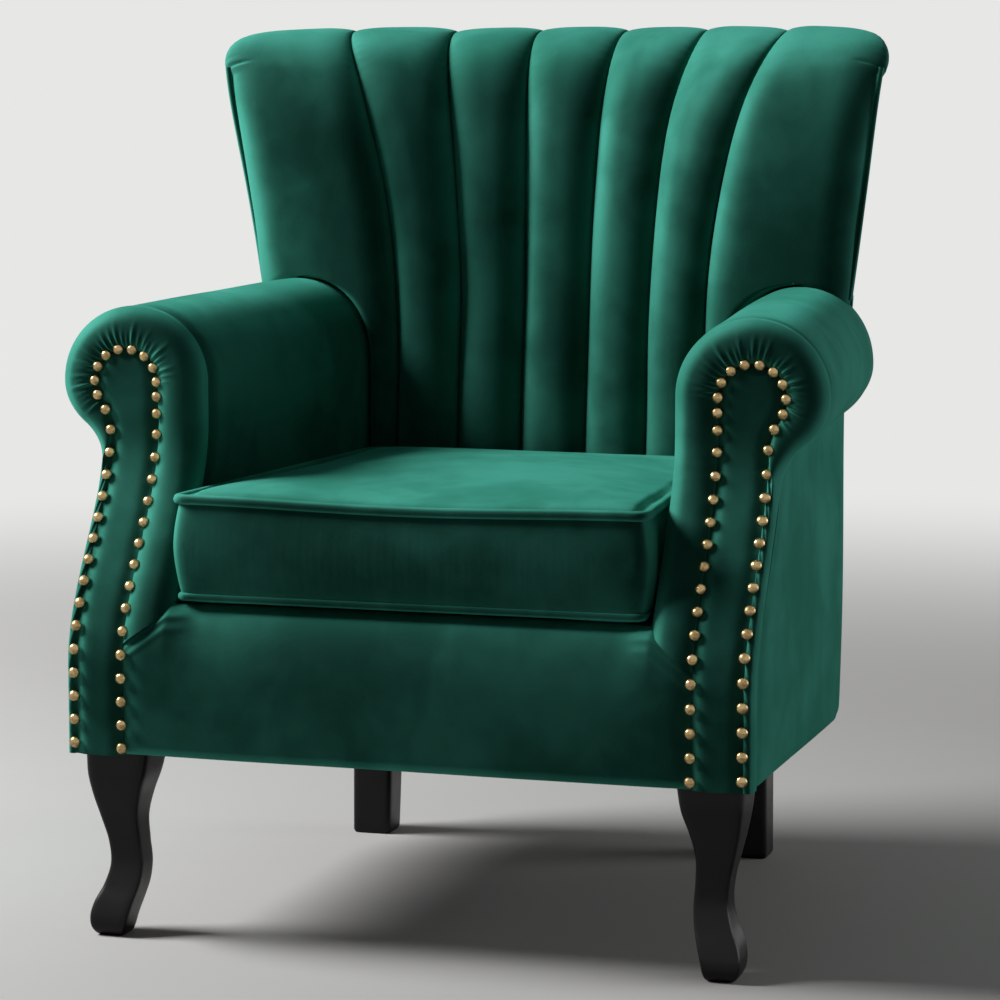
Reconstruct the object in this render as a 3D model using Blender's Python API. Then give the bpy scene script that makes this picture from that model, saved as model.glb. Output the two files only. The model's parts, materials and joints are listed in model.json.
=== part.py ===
"""Upholstered wing chair with rolled arms, a channelled back and one loose seat cushion."""

import math

import bmesh
import bpy
from mathutils import Vector

# Heights, in metres, each standing on the one before
LEG_HEIGHT = 0.185
RAIL_HEIGHT = 0.085
DECK_RISE = 0.0635
ARM_RISE = 0.2075
BACK_RISE = 0.1335
CREST_START_RISE = 0.288
CREST_RISE = 0.141
WING_CREST_RISE = 0.120
CREST_REAR_RISE = 0.085

# Plan of the arms
SIDE_X = 0.3425
FRONT_Y = -0.338
ARM_SETBACK = 0.099
SWEEP_LOW_DROP = 0.0615
SWEEP_HIGH_DROP = 0.040
FRONT_FACETS = 14
ROLL_RADIUS = 0.0745
ROLL_OFFSET = 0.0035
ROLL_UNDER_SHARE = 0.8
ROLL_FOOT_DROP = 0.045
ARM_INNER_TAPER = 0.095
ROLL_OUTER_TAPER = 0.080
ROLL_TUCK = 0.004
ROLL_TUCK_LENGTH = 0.090
ROLL_END_ROUND = 0.010
NECK_FILLET = 0.080
NECK_CLEARANCE = 0.0008
PANEL_TOP_ROW = 0.012
ARM_END_REACH = 0.0185
PAD_THICK = 0.030
PANEL_THICK = 0.006
SIDE_BEND_Y = 0.050
SIDE_BEND_POWER = 1.6

# Arm front: facing, nailhead trim and the gathered band round them
NAIL_EDGE = 0.0095
NAIL_COLUMNS = 0.049
NAIL_HEAD_ARCH = 0.033
NAIL_ARCH_FILLET = 0.060
BAND_DEPTH = 0.028
BAND_CLEARANCE = 0.0015
BAND_BULGE = 0.003
BAND_RIM = 0.012
SEAM_DEPTH = 0.001
NAIL_FLAT = 0.0065
FACING_BULGE = 0.004
NAIL_RADIUS = 0.0058
NAIL_RIM = 0.0012
NAIL_HEIGHT = 0.0042
NAIL_CROWN_SHARE = 0.5
NAILS_PER_SIDE = 21
NAIL_STEP_ARCH = 0.0146
NAIL_STEP_COLUMN = 0.0229
NAILS_IN_ARCH = 4
NAIL_SEAT = 0.0004

# Back: seam lines as low x, high x, low y, lean, crest depth
BACK_SEAMS = (
    (0.037, 0.049, 0.1930, 0.041, 0.082),
    (0.106, 0.145, 0.1800, 0.039, 0.082),
    (0.171, 0.247, 0.1715, 0.003, 0.075),
)
SEAM_SPREAD_POWER = 3.0
WING_LOW_INSET = 0.0395
WING_HIGH_OUTSET = 0.0225
WING_Y = 0.1755
WING_FORWARD = 0.110
WING_FORWARD_START = 0.36
WING_CREST_DEPTH = 0.060
WING_CORNER = 0.030
WING_REAR_INSET = 0.024
CREST_BACK_DEPTH = 0.0219
CHANNEL_THICK = 0.030
CHANNEL_EDGE_THICK = 0.010
CHANNEL_BULGE = 0.016
CREST_BULGE_SHARE = 0.3
WING_BULGE = 0.028
BULGE_POWER = 0.7
WING_STEP = 0.006

# Foot of the outside back under each seam, and its rear corner past the post
BACK_FOOT = ((0.030, 0.272), (0.100, 0.271), (0.165, 0.268))
BACK_CORNER_Y = 0.258
BACK_CORNER_MARGIN = 0.007

# Wooden frame
RAIL_THICK = 0.028
RAIL_EASE = 0.002
FRAME_CLEARANCE = 0.002
RAIL_REAR_Y = 0.220
REAR_RAIL_HALF = 0.2247
POST_WIDTH = 0.030
POST_DEPTH = 0.023
POST_TOP_X = 0.255
CREST_RAIL_CLEARANCE = 0.001
CREST_RAIL_DEPTH = 0.028
CREST_RAIL_HEIGHT = 0.050
CREST_RAIL_LIFT = 0.010
LOWER_RAIL_RISE = 0.030
LOWER_RAIL_HEIGHT = 0.060
LOWER_RAIL_DEPTH = 0.022
STUMP_DEPTH = 0.045
ARM_RAIL_WIDTH = 0.050
ARM_RAIL_HEIGHT = 0.040
WING_BAR = 0.018
WING_BAR_INSETS = (0.030, 0.044)
WING_BAR_CLEARANCE = 0.003
BLOCK_LEG = 0.080
BLOCK_HEIGHT = 0.050

# Legs and their bolts
FRONT_LEG_INSET = 0.0445
FRONT_LEG_Y = -0.292
REAR_LEG_INSET = 0.0137
REAR_LEG_Y = 0.220
REAR_LEG_TOP = 0.048
REAR_LEG_FOOT = 0.043
REAR_LEG_SPLAY = 0.004
LEG_CHAMFER = 0.004
LEG_RINGS = 20
BOLT_RADIUS = 0.004
BOLT_CLEARANCE = 0.0004
BOLT_IN_LEG = 0.040
BOLT_SIDES = 8
NUT_RADIUS = 0.0075
NUT_HEIGHT = 0.0065
BOLT_TAIL = 0.0039
FRONT_BOLT = (-0.015, 0.022)
REAR_BOLT = (0.0, -0.012)

# Front leg profile: share of the height, outward and forward offset, half width
FRONT_LEG_PROFILE = (
    (0.00, 0.0100, 0.0120, 0.0140),
    (0.04, 0.0112, 0.0130, 0.0175),
    (0.10, 0.0110, 0.0115, 0.0197),
    (0.17, 0.0080, 0.0075, 0.0203),
    (0.27, 0.0014, 0.0010, 0.0186),
    (0.37, -0.0020, -0.0025, 0.0170),
    (0.50, -0.0004, -0.0020, 0.0168),
    (0.63, 0.0029, 0.0005, 0.0193),
    (0.76, 0.0032, 0.0022, 0.0247),
    (0.87, 0.0015, 0.0025, 0.0296),
    (1.00, 0.0000, 0.0000, 0.0325),
)

# Seat
SPRING_COUNT = 5
SPRING_PITCH = 0.072
SPRING_SWING = 0.022
SPRING_WIRE = 0.0018
SPRING_BENDS = 12
DECK_THICK = 0.035
BORDER_OVERLAP = 0.010
BORDER_SETBACK = 0.0025
BORDER_HEM = 0.012
BORDER_HEM_DEPTH = 0.004
BORDER_ROLL_START = 0.010
BORDER_TOP_CLEARANCE = 0.001
CUSHION_CLEARANCE = 0.005
CUSHION_FRONT_Y = -0.319
CUSHION_REAR_Y = 0.150
CUSHION_BOXING = 0.1026
CUSHION_CROWN = 0.030
CUSHION_FRONT_ROUND = 0.045
CUSHION_REAR_ROUND = 0.030
WELT_RADIUS = 0.0045
WELT_HEIGHT = 0.012
WELT_GROOVE = 0.0068
WELT_REACH = 0.011
WELT_INSET = 0.0015
CUSHION_UNDER_ROUND = 0.012
CUSHION_UNDER_LIP = 0.002
CUSHION_LIP = 0.001
CROWN_POWER = 2.4
DUST_COVER_THICK = 0.0012
DUST_COVER_MARGIN = 0.012

# Air left between pieces that touch
GAP = 0.0003

RAIL_TOP_Z = LEG_HEIGHT + RAIL_HEIGHT
DECK_TOP_Z = RAIL_TOP_Z + DECK_RISE
ROLL_Z = DECK_TOP_Z + ARM_RISE
ROLL_FOOT_Z = ROLL_Z - ROLL_FOOT_DROP
BACK_LOW_Z = DECK_TOP_Z + BACK_RISE
CREST_START_Z = BACK_LOW_Z + CREST_START_RISE
CREST_TOP_Z = CREST_START_Z + CREST_RISE
CREST_REAR_Z = CREST_START_Z + CREST_REAR_RISE
ARM_FRONT_Y = FRONT_Y + ARM_SETBACK
ARM_END_Y = BACK_SEAMS[-1][2] + ARM_END_REACH
NAIL_OUTER_X = SIDE_X - NAIL_EDGE
NAIL_HEAD_X = NAIL_OUTER_X - NAIL_COLUMNS + NAIL_HEAD_ARCH
ROLL_X = NAIL_HEAD_X - ROLL_OFFSET
RAIL_FRONT_Y = FRONT_Y + BAND_DEPTH + BAND_CLEARANCE
FRONT_LEG_X = SIDE_X - FRONT_LEG_INSET
REAR_LEG_X = REAR_RAIL_HALF - REAR_LEG_INSET
BACK_CORNER_X = REAR_RAIL_HALF + GAP + POST_WIDTH + BACK_CORNER_MARGIN
OUTSIDE_BACK_BASE = (*BACK_FOOT, (BACK_CORNER_X, BACK_CORNER_Y))
SIDES = (("left", -1), ("right", 1))


def lerp(a, b, t):
    return a + (b - a) * t


def ease(t):
    t = min(max(t, 0.0), 1.0)
    return t * t * (3.0 - 2.0 * t)


def make_material(name, color, roughness, metallic=0.0):
    material = bpy.data.materials.new(name)
    material.use_nodes = True
    shader = material.node_tree.nodes["Principled BSDF"]
    shader.inputs["Base Color"].default_value = (*color, 1.0)
    shader.inputs["Roughness"].default_value = roughness
    shader.inputs["Metallic"].default_value = metallic
    return material


def add_mesh(name, bm, material):
    """Turns a closed bmesh into a named object with its faces pointing out."""
    bmesh.ops.recalc_face_normals(bm, faces=bm.faces)
    mesh = bpy.data.meshes.new(name)
    bm.to_mesh(mesh)
    bm.free()
    mesh.materials.append(material)
    mesh.shade_smooth()
    mesh.set_sharp_from_angle(angle=math.radians(40))
    obj = bpy.data.objects.new(name, mesh)
    bpy.context.collection.objects.link(obj)
    return obj


def skin_rings(bm, rings, turned=()):
    """Triangles between equal rings of points, closed by one face at each end.

    The strips listed in turned are split the other way, to lie flat against a neighbour.
    """
    loops = [[bm.verts.new(point) for point in ring] for ring in rings]
    for low, high in zip(loops, loops[1:]):
        for i in range(len(low)):
            j = (i + 1) % len(low)
            if i in turned:
                bm.faces.new((low[j], high[j], high[i]))
                bm.faces.new((low[i], low[j], high[i]))
            else:
                bm.faces.new((low[i], low[j], high[j]))
                bm.faces.new((low[i], high[j], high[i]))
    bm.faces.new(loops[0])
    bm.faces.new(loops[-1])


def add_loft(name, rings, material, turned=()):
    bm = bmesh.new()
    skin_rings(bm, rings, turned)
    return add_mesh(name, bm, material)


def add_prism(name, outline, low_z, high_z, material):
    """A plan outline of (x, y) points pulled up from low_z to high_z."""
    return add_loft(name, [[(x, y, z) for x, y in outline] for z in (low_z, high_z)], material)


def add_box(name, low, high, material):
    outline = [(low[0], low[1]), (high[0], low[1]), (high[0], high[1]), (low[0], high[1])]
    return add_prism(name, outline, low[2], high[2], material)


def add_bevel(obj, width):
    bevel = obj.modifiers.new("edge", "BEVEL")
    bevel.width = width
    bevel.segments = 1
    bevel.limit_method = "ANGLE"
    bevel.angle_limit = math.radians(50)


def add_cylinder(name, radius, low_z, high_z, sides, material):
    circle = [(radius * math.cos(a), radius * math.sin(a)) for a in turns(sides)]
    return add_prism(name, circle, low_z, high_z, material)


def turns(count):
    return [2.0 * math.pi * i / count for i in range(count)]


def arc(center, radius, start, end, count):
    """Points on a circle from one angle to another, in degrees."""
    angles = [math.radians(lerp(start, end, i / (count - 1))) for i in range(count)]
    return [(center[0] + radius * math.cos(a), center[1] + radius * math.sin(a)) for a in angles]


def cut(obj, cutter):
    cutter.hide_render = True
    cutter.display_type = "WIRE"
    boolean = obj.modifiers.new("cut", "BOOLEAN")
    boolean.operation = "DIFFERENCE"
    boolean.object = cutter


# Surfaces that several pieces share


def front_levels(low, high):
    """Heights at which the swept arm front is creased, from low to high."""
    creases = [lerp(LEG_HEIGHT, ROLL_Z, i / FRONT_FACETS) for i in range(FRONT_FACETS + 1)]
    return [low] + [z for z in creases if low < z < high] + [high]


def front_y(z):
    """Arm front: upright at the foot, swept back to the roll in one S curve of flat facets."""
    low = DECK_TOP_Z - SWEEP_LOW_DROP
    high = ROLL_Z - SWEEP_HIGH_DROP
    curve = []
    for level in front_levels(LEG_HEIGHT, ROLL_Z):
        curve.append((level, FRONT_Y + ARM_SETBACK * ease((level - low) / (high - low))))
    return between(curve, z)


def front_slope(z):
    step = 0.001
    return (front_y(z + step) - front_y(z - step)) / (2.0 * step)


def behind_band_y(z):
    return front_y(z) + BAND_DEPTH + BAND_CLEARANCE


def arm_inner_x(y):
    return ROLL_X - ROLL_RADIUS - ARM_INNER_TAPER * (y - ARM_FRONT_Y)


def roll_outer_center(y):
    tuck = ROLL_TUCK * ease((y - ARM_END_Y + ROLL_TUCK_LENGTH) / ROLL_TUCK_LENGTH)
    return ROLL_X - ROLL_OUTER_TAPER * max(y - ARM_FRONT_Y, 0.0) - tuck


def back_share(z):
    return (z - BACK_LOW_Z) / (CREST_TOP_Z - BACK_LOW_Z)


def seam_x(seam, z):
    share = min(max(back_share(z), 0.0), 1.0)
    if seam == len(BACK_SEAMS):
        return lerp(SIDE_X - WING_LOW_INSET, SIDE_X + WING_HIGH_OUTSET, share)
    low, high = BACK_SEAMS[seam][:2]
    return lerp(low, high, share**SEAM_SPREAD_POWER)


def seam_y(seam, z):
    share = back_share(z)
    if seam == len(BACK_SEAMS):
        return WING_Y - WING_FORWARD * max(share - WING_FORWARD_START, 0.0) ** 2
    return BACK_SEAMS[seam][2] + BACK_SEAMS[seam][3] * share


def seam_crest(seam):
    """Depth and rise of the crest roll at a seam."""
    if seam == len(BACK_SEAMS):
        return WING_CREST_DEPTH, WING_CREST_RISE
    return BACK_SEAMS[seam][4], CREST_RISE


def crest_peak(seam):
    depth, rise = seam_crest(seam)
    z = CREST_START_Z + rise
    return Vector((seam_x(seam, z), seam_y(seam, z) + depth, z))


def corner_inset(seam, z):
    """How far the rounded top corner of a wing draws in from its straight edge."""
    if seam < len(BACK_SEAMS):
        return 0.0
    climb = (z - CREST_START_Z - WING_CREST_RISE) / WING_CORNER + 1.0
    climb = min(max(climb, 0.0), 1.0)
    return WING_CORNER * (1.0 - math.sqrt(1.0 - climb**2))


def crest_point(seam, angle):
    """Point on the crest roll: 0 where it leaves the back, 90 on top, 180 at its rear edge."""
    depth, rise = seam_crest(seam)
    a = math.radians(angle)
    if angle <= 90:
        z = CREST_START_Z + rise * math.sin(a)
        point = Vector((seam_x(seam, z), seam_y(seam, z) + depth * (1.0 - math.cos(a)), z))
    else:
        peak = crest_peak(seam)
        fall = peak.z - CREST_REAR_Z
        point = peak + Vector((0.0, -CREST_BACK_DEPTH * math.cos(a), fall * (math.sin(a) - 1.0)))
        if seam == len(BACK_SEAMS):
            point.x -= lerp(WING_CORNER, WING_REAR_INSET, ease((angle - 90) / 90))
            return point
    point.x -= corner_inset(seam, point.z)
    return point


CREST_ANGLES = (15, 30, 45, 60, 75, 90, 115, 140, 160, 180)


def crest_inner_point(seam, angle):
    """Underside of the pad below a point of the crest roll."""
    a = math.radians(angle)
    depth = lerp(CHANNEL_THICK, CHANNEL_EDGE_THICK, ease((angle - 60) / 120))
    point = crest_point(seam, angle) + Vector((0.0, math.cos(a), -math.sin(a))) * depth
    top_x = crest_point(seam, min(angle, 90)).x
    point.x = min(top_x, seam_x(seam, point.z))
    return off_wing_side(point) if seam == len(BACK_SEAMS) else point


def off_wing_side(point):
    """The point, drawn in where it would stand out of the wing's slanting side."""
    wing = len(BACK_SEAMS)
    rear = outside_back_column(wing, min(point.z, CREST_REAR_Z))
    front_line = seam_y(wing, point.z)
    share = min(max((point.y - front_line) / (rear.y - front_line), 0.0), 1.0)
    side = lerp(seam_x(wing, point.z), rear.x, share)
    return Vector((min(point.x, side), point.y, point.z))


def seam_path(seam):
    """Angle, seam point and the pad's inner point, from the deck up over the crest."""
    path = []
    for i in range(7):
        z = lerp(DECK_TOP_Z + GAP, CREST_START_Z, i / 6)
        point = Vector((seam_x(seam, z), seam_y(seam, z), z))
        lining = point + Vector((0.0, CHANNEL_THICK, 0.0))
        path.append((0.0, point, off_wing_side(lining) if seam == len(BACK_SEAMS) else lining))
    for angle in CREST_ANGLES:
        path.append((angle, crest_point(seam, angle), crest_inner_point(seam, angle)))
    return path


def outside_back_column(column, z):
    """Outer surface of the outside back under a seam, straight from the base to the crest."""
    low = Vector((*OUTSIDE_BACK_BASE[column], LEG_HEIGHT))
    high = crest_point(column, 180)
    return low.lerp(high, (z - low.z) / (high.z - low.z))


def side_x(y, z):
    """Outer surface of the chair side: straight, then drawn in to the rear corner."""
    corner = outside_back_column(len(BACK_SEAMS), z)
    along = max(y - SIDE_BEND_Y, 0.0) / (corner.y - SIDE_BEND_Y)
    return lerp(SIDE_X, corner.x, along**SIDE_BEND_POWER)


def neck(y):
    """Where the underside of the arm roll meets the chair side: x, z and angle on the roll."""
    x = side_x(y, ROLL_FOOT_Z)
    angle = -math.degrees(math.acos((x - roll_outer_center(y)) / ROLL_RADIUS))
    return x, under_roll(ROLL_Z + ROLL_RADIUS * math.sin(math.radians(angle))), angle


def under_roll(z):
    """Height on the roll, whose underside is flatter than its top."""
    return ROLL_Z + min(z - ROLL_Z, 0.0) * ROLL_UNDER_SHARE + max(z - ROLL_Z, 0.0)


def between(points, x):
    """Second coordinate at x on a line through points sorted by x."""
    for (ax, ay), (bx, by) in zip(points, points[1:]):
        if x <= bx:
            return lerp(ay, by, (x - ax) / (bx - ax))
    return points[-1][1]


def back_space(x, z):
    """Front and rear y of the room between the channel pads and the outside back."""
    seams = range(len(BACK_SEAMS) + 1)
    front = [(seam_x(i, z), seam_y(i, z) + CHANNEL_THICK) for i in seams]
    rear = [outside_back_column(i, z)[:2] for i in seams]
    front.insert(0, (-front[0][0], front[0][1]))
    rear.insert(0, (-rear[0][0], rear[0][1]))
    return between(front, x) + GAP, between(rear, x) - PANEL_THICK - GAP


def keyhole(center_x, radius, outer_x, fillet, fall):
    """Arm front outline from its inner foot over the round head to its outer foot, as (x, z)."""
    reach = outer_x + fillet - center_x
    fillet_z = ROLL_Z - math.sqrt((radius + fillet) ** 2 - reach**2)
    turn = math.degrees(math.atan2(fillet_z - ROLL_Z, reach))
    line_in = [(center_x - radius, z) for z in front_levels(LEG_HEIGHT, ROLL_Z)[:-1]]
    head = arc((center_x, ROLL_Z), radius, 180, turn, 15)
    hollow = arc((outer_x + fillet, fillet_z), fillet, 180 + turn, 180, 5)[1:]
    curve = [(x, fall(z)) for x, z in head + hollow]
    levels = front_levels(LEG_HEIGHT, ROLL_Z - ROLL_RADIUS - NECK_FILLET / 2)[:-1]
    levels.append(lerp(levels[-1], fall(fillet_z), 0.5))
    line_out = [(outer_x, z) for z in reversed(levels)]
    return line_in + curve + line_out


def nail_outline(offset):
    size = (NAIL_HEAD_ARCH + offset, NAIL_OUTER_X + offset, NAIL_ARCH_FILLET - offset)
    return keyhole(NAIL_HEAD_X, *size, lambda z: z)


def arm_outline():
    return keyhole(ROLL_X, ROLL_RADIUS, SIDE_X, NECK_FILLET, under_roll)


# Wooden seat frame


def add_seat_frame(wood):
    half = SIDE_X - PANEL_THICK - FRAME_CLEARANCE
    rail_rear = RAIL_FRONT_Y + RAIL_THICK
    front = add_box(
        "front_seat_rail",
        (-half, RAIL_FRONT_Y, LEG_HEIGHT + GAP),
        (half, rail_rear, RAIL_TOP_Z),
        wood,
    )
    rear = add_box(
        "rear_seat_rail",
        (-REAR_RAIL_HALF, RAIL_REAR_Y, LEG_HEIGHT + GAP),
        (REAR_RAIL_HALF, RAIL_REAR_Y + RAIL_THICK, RAIL_TOP_Z),
        wood,
    )
    add_bevel(front, RAIL_EASE)
    add_bevel(rear, RAIL_EASE)
    post_front = back_post_center(RAIL_TOP_Z).y - POST_DEPTH / 2
    levels = [lerp(rail_rear + GAP, post_front - GAP, t / 6) for t in range(7)]
    for name, side in SIDES:
        outer = [(side * (side_x(y, LEG_HEIGHT) - PANEL_THICK - FRAME_CLEARANCE), y) for y in levels]
        inner = [(x - side * RAIL_THICK, y) for x, y in reversed(outer)]
        add_prism(f"{name}_seat_rail", outer + inner, LEG_HEIGHT + GAP, RAIL_TOP_Z, wood)


def rail_inner_x(y):
    return side_x(y, LEG_HEIGHT) - PANEL_THICK - FRAME_CLEARANCE - RAIL_THICK - GAP


def add_corner_blocks(wood):
    front_corner = RAIL_FRONT_Y + RAIL_THICK + GAP
    rear_corner = RAIL_REAR_Y - GAP
    for name, side in SIDES:
        for place, corner, step, center in (
            ("front", front_corner, BLOCK_LEG, front_bolt_place(side)),
            ("rear", rear_corner, -BLOCK_LEG, rear_bolt_place(side)),
        ):
            x = rail_inner_x(corner)
            outline = [
                (side * x, corner),
                (side * rail_inner_x(corner + step), corner + step),
                (side * (x - BLOCK_LEG), corner),
            ]
            low = LEG_HEIGHT + GAP
            block = add_prism(f"{name}_{place}_corner_block", outline, low, low + BLOCK_HEIGHT, wood)
            cut(block, add_bolt_hole(f"{name}_{place}_block_hole", center, wood))


# Legs and leg bolts


def front_bolt_place(side):
    return side * (FRONT_LEG_X + FRONT_BOLT[0]), FRONT_LEG_Y + FRONT_BOLT[1]


def rear_bolt_place(side):
    return side * (REAR_LEG_X + REAR_BOLT[0]), REAR_LEG_Y + REAR_BOLT[1]


def add_bolt_hole(name, center, material):
    low = LEG_HEIGHT - BOLT_IN_LEG - BOLT_CLEARANCE
    high = LEG_HEIGHT + BLOCK_HEIGHT + NUT_HEIGHT
    hole = add_cylinder(name, BOLT_RADIUS + BOLT_CLEARANCE, low, high, BOLT_SIDES, material)
    hole.location = (*center, 0.0)
    return hole


def add_bolt(name, center, steel):
    """Hanger bolt with its nut run down onto the corner block."""
    block_top = LEG_HEIGHT + BLOCK_HEIGHT + 2 * GAP
    levels = (
        (LEG_HEIGHT - BOLT_IN_LEG, BOLT_RADIUS),
        (block_top, BOLT_RADIUS),
        (block_top, NUT_RADIUS),
        (block_top + NUT_HEIGHT, NUT_RADIUS),
        (block_top + NUT_HEIGHT, BOLT_RADIUS),
        (block_top + NUT_HEIGHT + BOLT_TAIL, BOLT_RADIUS),
    )
    angles = turns(BOLT_SIDES)
    rings = [[(r * math.cos(a), r * math.sin(a), z) for a in angles] for z, r in levels]
    bolt = add_loft(name, rings, steel)
    bolt.location = (*center, 0.0)


def square_ring(center_x, center_y, half, z):
    """Square with its corners taken off."""
    short = half - LEG_CHAMFER
    corners = ((half, short), (short, half), (-short, half), (-half, short))
    ring = list(corners) + [(-x, -y) for x, y in corners]
    return [(center_x + x, center_y + y, z) for x, y in ring]


def profile_at(share):
    """Smooth curve through the rows of the front leg profile."""
    rows = FRONT_LEG_PROFILE
    index = max(i for i, row in enumerate(rows[:-1]) if row[0] <= share)
    before, start, end = rows[max(index - 1, 0)], rows[index], rows[index + 1]
    after = rows[min(index + 2, len(rows) - 1)]
    width = end[0] - start[0]
    t = (share - start[0]) / width
    values = []
    for k in (1, 2, 3):
        slope_a = (end[k] - before[k]) / (end[0] - before[0]) * width
        slope_b = (after[k] - start[k]) / (after[0] - start[0]) * width
        line = lerp(start[k], end[k], ease(t))
        values.append(line + slope_a * t * (1 - t) ** 2 - slope_b * t * t * (1 - t))
    return values


def add_legs(black):
    top = LEG_HEIGHT
    for name, side in SIDES:
        rings = []
        for i in range(LEG_RINGS + 1):
            share = i / LEG_RINGS
            out, forward, half = profile_at(share)
            rings.append(square_ring(side * out, -forward, half, share * top))
        front = add_loft(f"{name}_front_leg", rings, black)
        front.location = (side * FRONT_LEG_X, FRONT_LEG_Y, 0.0)
        foot = square_ring(side * REAR_LEG_SPLAY, 0.0, REAR_LEG_FOOT / 2, 0.0)
        head = square_ring(0.0, 0.0, REAR_LEG_TOP / 2, top)
        rear = add_loft(f"{name}_rear_leg", [foot, head], black)
        rear.location = (side * REAR_LEG_X, REAR_LEG_Y, 0.0)
        for leg, place in ((front, front_bolt_place(side)), (rear, rear_bolt_place(side))):
            cut(leg, add_bolt_hole(leg.name + "_hole", place, black))


def add_bolts(steel):
    for name, side in SIDES:
        add_bolt(f"{name}_front_leg_bolt", front_bolt_place(side), steel)
        add_bolt(f"{name}_rear_leg_bolt", rear_bolt_place(side), steel)


# Upper frame


def stump_x():
    return arm_inner_x(RAIL_FRONT_Y) + PAD_THICK + GAP


def add_arm_frame(wood):
    stump_top = ROLL_FOOT_Z - ARM_RAIL_HEIGHT - GAP
    levels = front_levels(RAIL_TOP_Z + GAP, stump_top - GAP)
    rail_low, rail_high = stump_top, ROLL_FOOT_Z - GAP
    post_y = back_post_center(rail_high).y - POST_DEPTH / 2 - GAP
    for name, side in SIDES:
        near, far = side * stump_x(), side * (stump_x() + ARM_RAIL_WIDTH)
        rings = []
        for z in levels:
            y = behind_band_y(z)
            ring = [(near, y), (far, y), (far, y + STUMP_DEPTH), (near, y + STUMP_DEPTH)]
            rings.append([(px, py, z) for px, py in ring])
        add_loft(f"{name}_arm_stump", rings, wood)
        front = behind_band_y(rail_high)
        rear_near = side * (arm_inner_x(post_y) + PAD_THICK + GAP)
        outline = [(near, front), (far, front)]
        outline += [(rear_near + side * ARM_RAIL_WIDTH, post_y), (rear_near, post_y)]
        add_prism(f"{name}_arm_rail", outline, rail_low, rail_high, wood)


def back_post_center(z):
    base = Vector((REAR_RAIL_HALF + GAP + POST_WIDTH / 2, RAIL_REAR_Y + RAIL_THICK / 2))
    top_z = CREST_START_Z + CREST_RAIL_LIFT - GAP
    top = Vector((POST_TOP_X, sum(back_space(POST_TOP_X, CREST_START_Z)) / 2))
    return base.lerp(top, (z - LEG_HEIGHT) / (top_z - LEG_HEIGHT))


def add_back_frame(wood):
    top_z = CREST_START_Z + CREST_RAIL_LIFT
    half_w, half_d = POST_WIDTH / 2, POST_DEPTH / 2
    square = ((-half_w, -half_d), (half_w, -half_d), (half_w, half_d), (-half_w, half_d))
    for name, side in SIDES:
        rings = []
        for z in (LEG_HEIGHT + GAP, top_z - GAP):
            center = back_post_center(z)
            rings.append([(side * (center.x + x), center.y + y, z) for x, y in square])
        add_loft(f"{name}_back_post", rings, wood)
    add_crest_rail(wood, top_z)
    low = DECK_TOP_Z + LOWER_RAIL_RISE
    high = low + LOWER_RAIL_HEIGHT
    half = back_post_center(low).x - half_w - GAP
    front = back_space(0.0, high)[0]
    add_box("lower_back_rail", (-half, front, low), (half, front + LOWER_RAIL_DEPTH, high), wood)


def add_crest_rail(wood, low_z):
    """Curved rail behind the channels, standing on the two back posts."""
    end = POST_TOP_X + POST_WIDTH / 2
    seams = len(BACK_SEAMS)
    stops = [crest_inner_point(i, 45)[:2] for i in range(seams + 1)]
    half = stops[:seams] + [(end, between(stops, end))]
    line = [(-x, y) for x, y in reversed(half)] + half
    front = [(x, y + CREST_RAIL_CLEARANCE) for x, y in line]
    rear = [(x, y + CREST_RAIL_DEPTH) for x, y in reversed(front)]
    add_prism("crest_rail", front + rear, low_z, low_z + CREST_RAIL_HEIGHT, wood)


def add_wing_bars(wood):
    """Upright that carries the edge of each wing, on the rear end of the arm rail."""
    shares = [t / 4 for t in range(5)]
    for name, side in SIDES:
        rings = []
        for share in shares:
            z = lerp(ROLL_FOOT_Z, CREST_START_Z, share)
            x = seam_x(len(BACK_SEAMS), z) - lerp(*WING_BAR_INSETS, share)
            half = WING_BAR / 2
            y = max(back_space(x - half, z)[0], ARM_END_Y) + half + WING_BAR_CLEARANCE
            square = ((-half, -half), (half, -half), (half, half), (-half, half))
            rings.append([(side * (x + dx), y + dy, z) for dx, dy in square])
        add_loft(f"{name}_wing_bar", rings, wood)


# Seat springs and deck


def add_springs(steel):
    crown = DECK_TOP_Z - DECK_THICK - RAIL_TOP_Z - 2 * GAP - 2 * SPRING_WIRE
    front = RAIL_FRONT_Y + RAIL_THICK / 2
    rear = RAIL_REAR_Y + RAIL_THICK / 2
    for i in range(SPRING_COUNT):
        center = (i - (SPRING_COUNT - 1) / 2) * SPRING_PITCH
        points = []
        for bend in range(SPRING_BENDS):
            swing = SPRING_SWING if bend % 2 else -SPRING_SWING
            for part in (0.15, 0.85):
                share = (bend + part) / SPRING_BENDS
                rise = crown * math.sin(math.pi * share)
                z = RAIL_TOP_Z + GAP + SPRING_WIRE + rise
                points.append((center + swing, lerp(front, rear, share), z))
        add_wire(f"seat_spring_{i + 1}", points, SPRING_WIRE, 0, False, steel)


def add_wire(name, points, radius, resolution, cyclic, material):
    curve = bpy.data.curves.new(name, "CURVE")
    curve.dimensions = "3D"
    curve.bevel_depth = radius
    curve.bevel_resolution = resolution
    curve.use_fill_caps = not cyclic
    spline = curve.splines.new("POLY")
    spline.points.add(len(points) - 1)
    for point, place in zip(spline.points, points):
        point.co = (*place, 1.0)
    spline.use_cyclic_u = cyclic
    curve.materials.append(material)
    obj = bpy.data.objects.new(name, curve)
    bpy.context.collection.objects.link(obj)
    return obj


def border_rear_y():
    return RAIL_FRONT_Y + BORDER_OVERLAP


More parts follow.
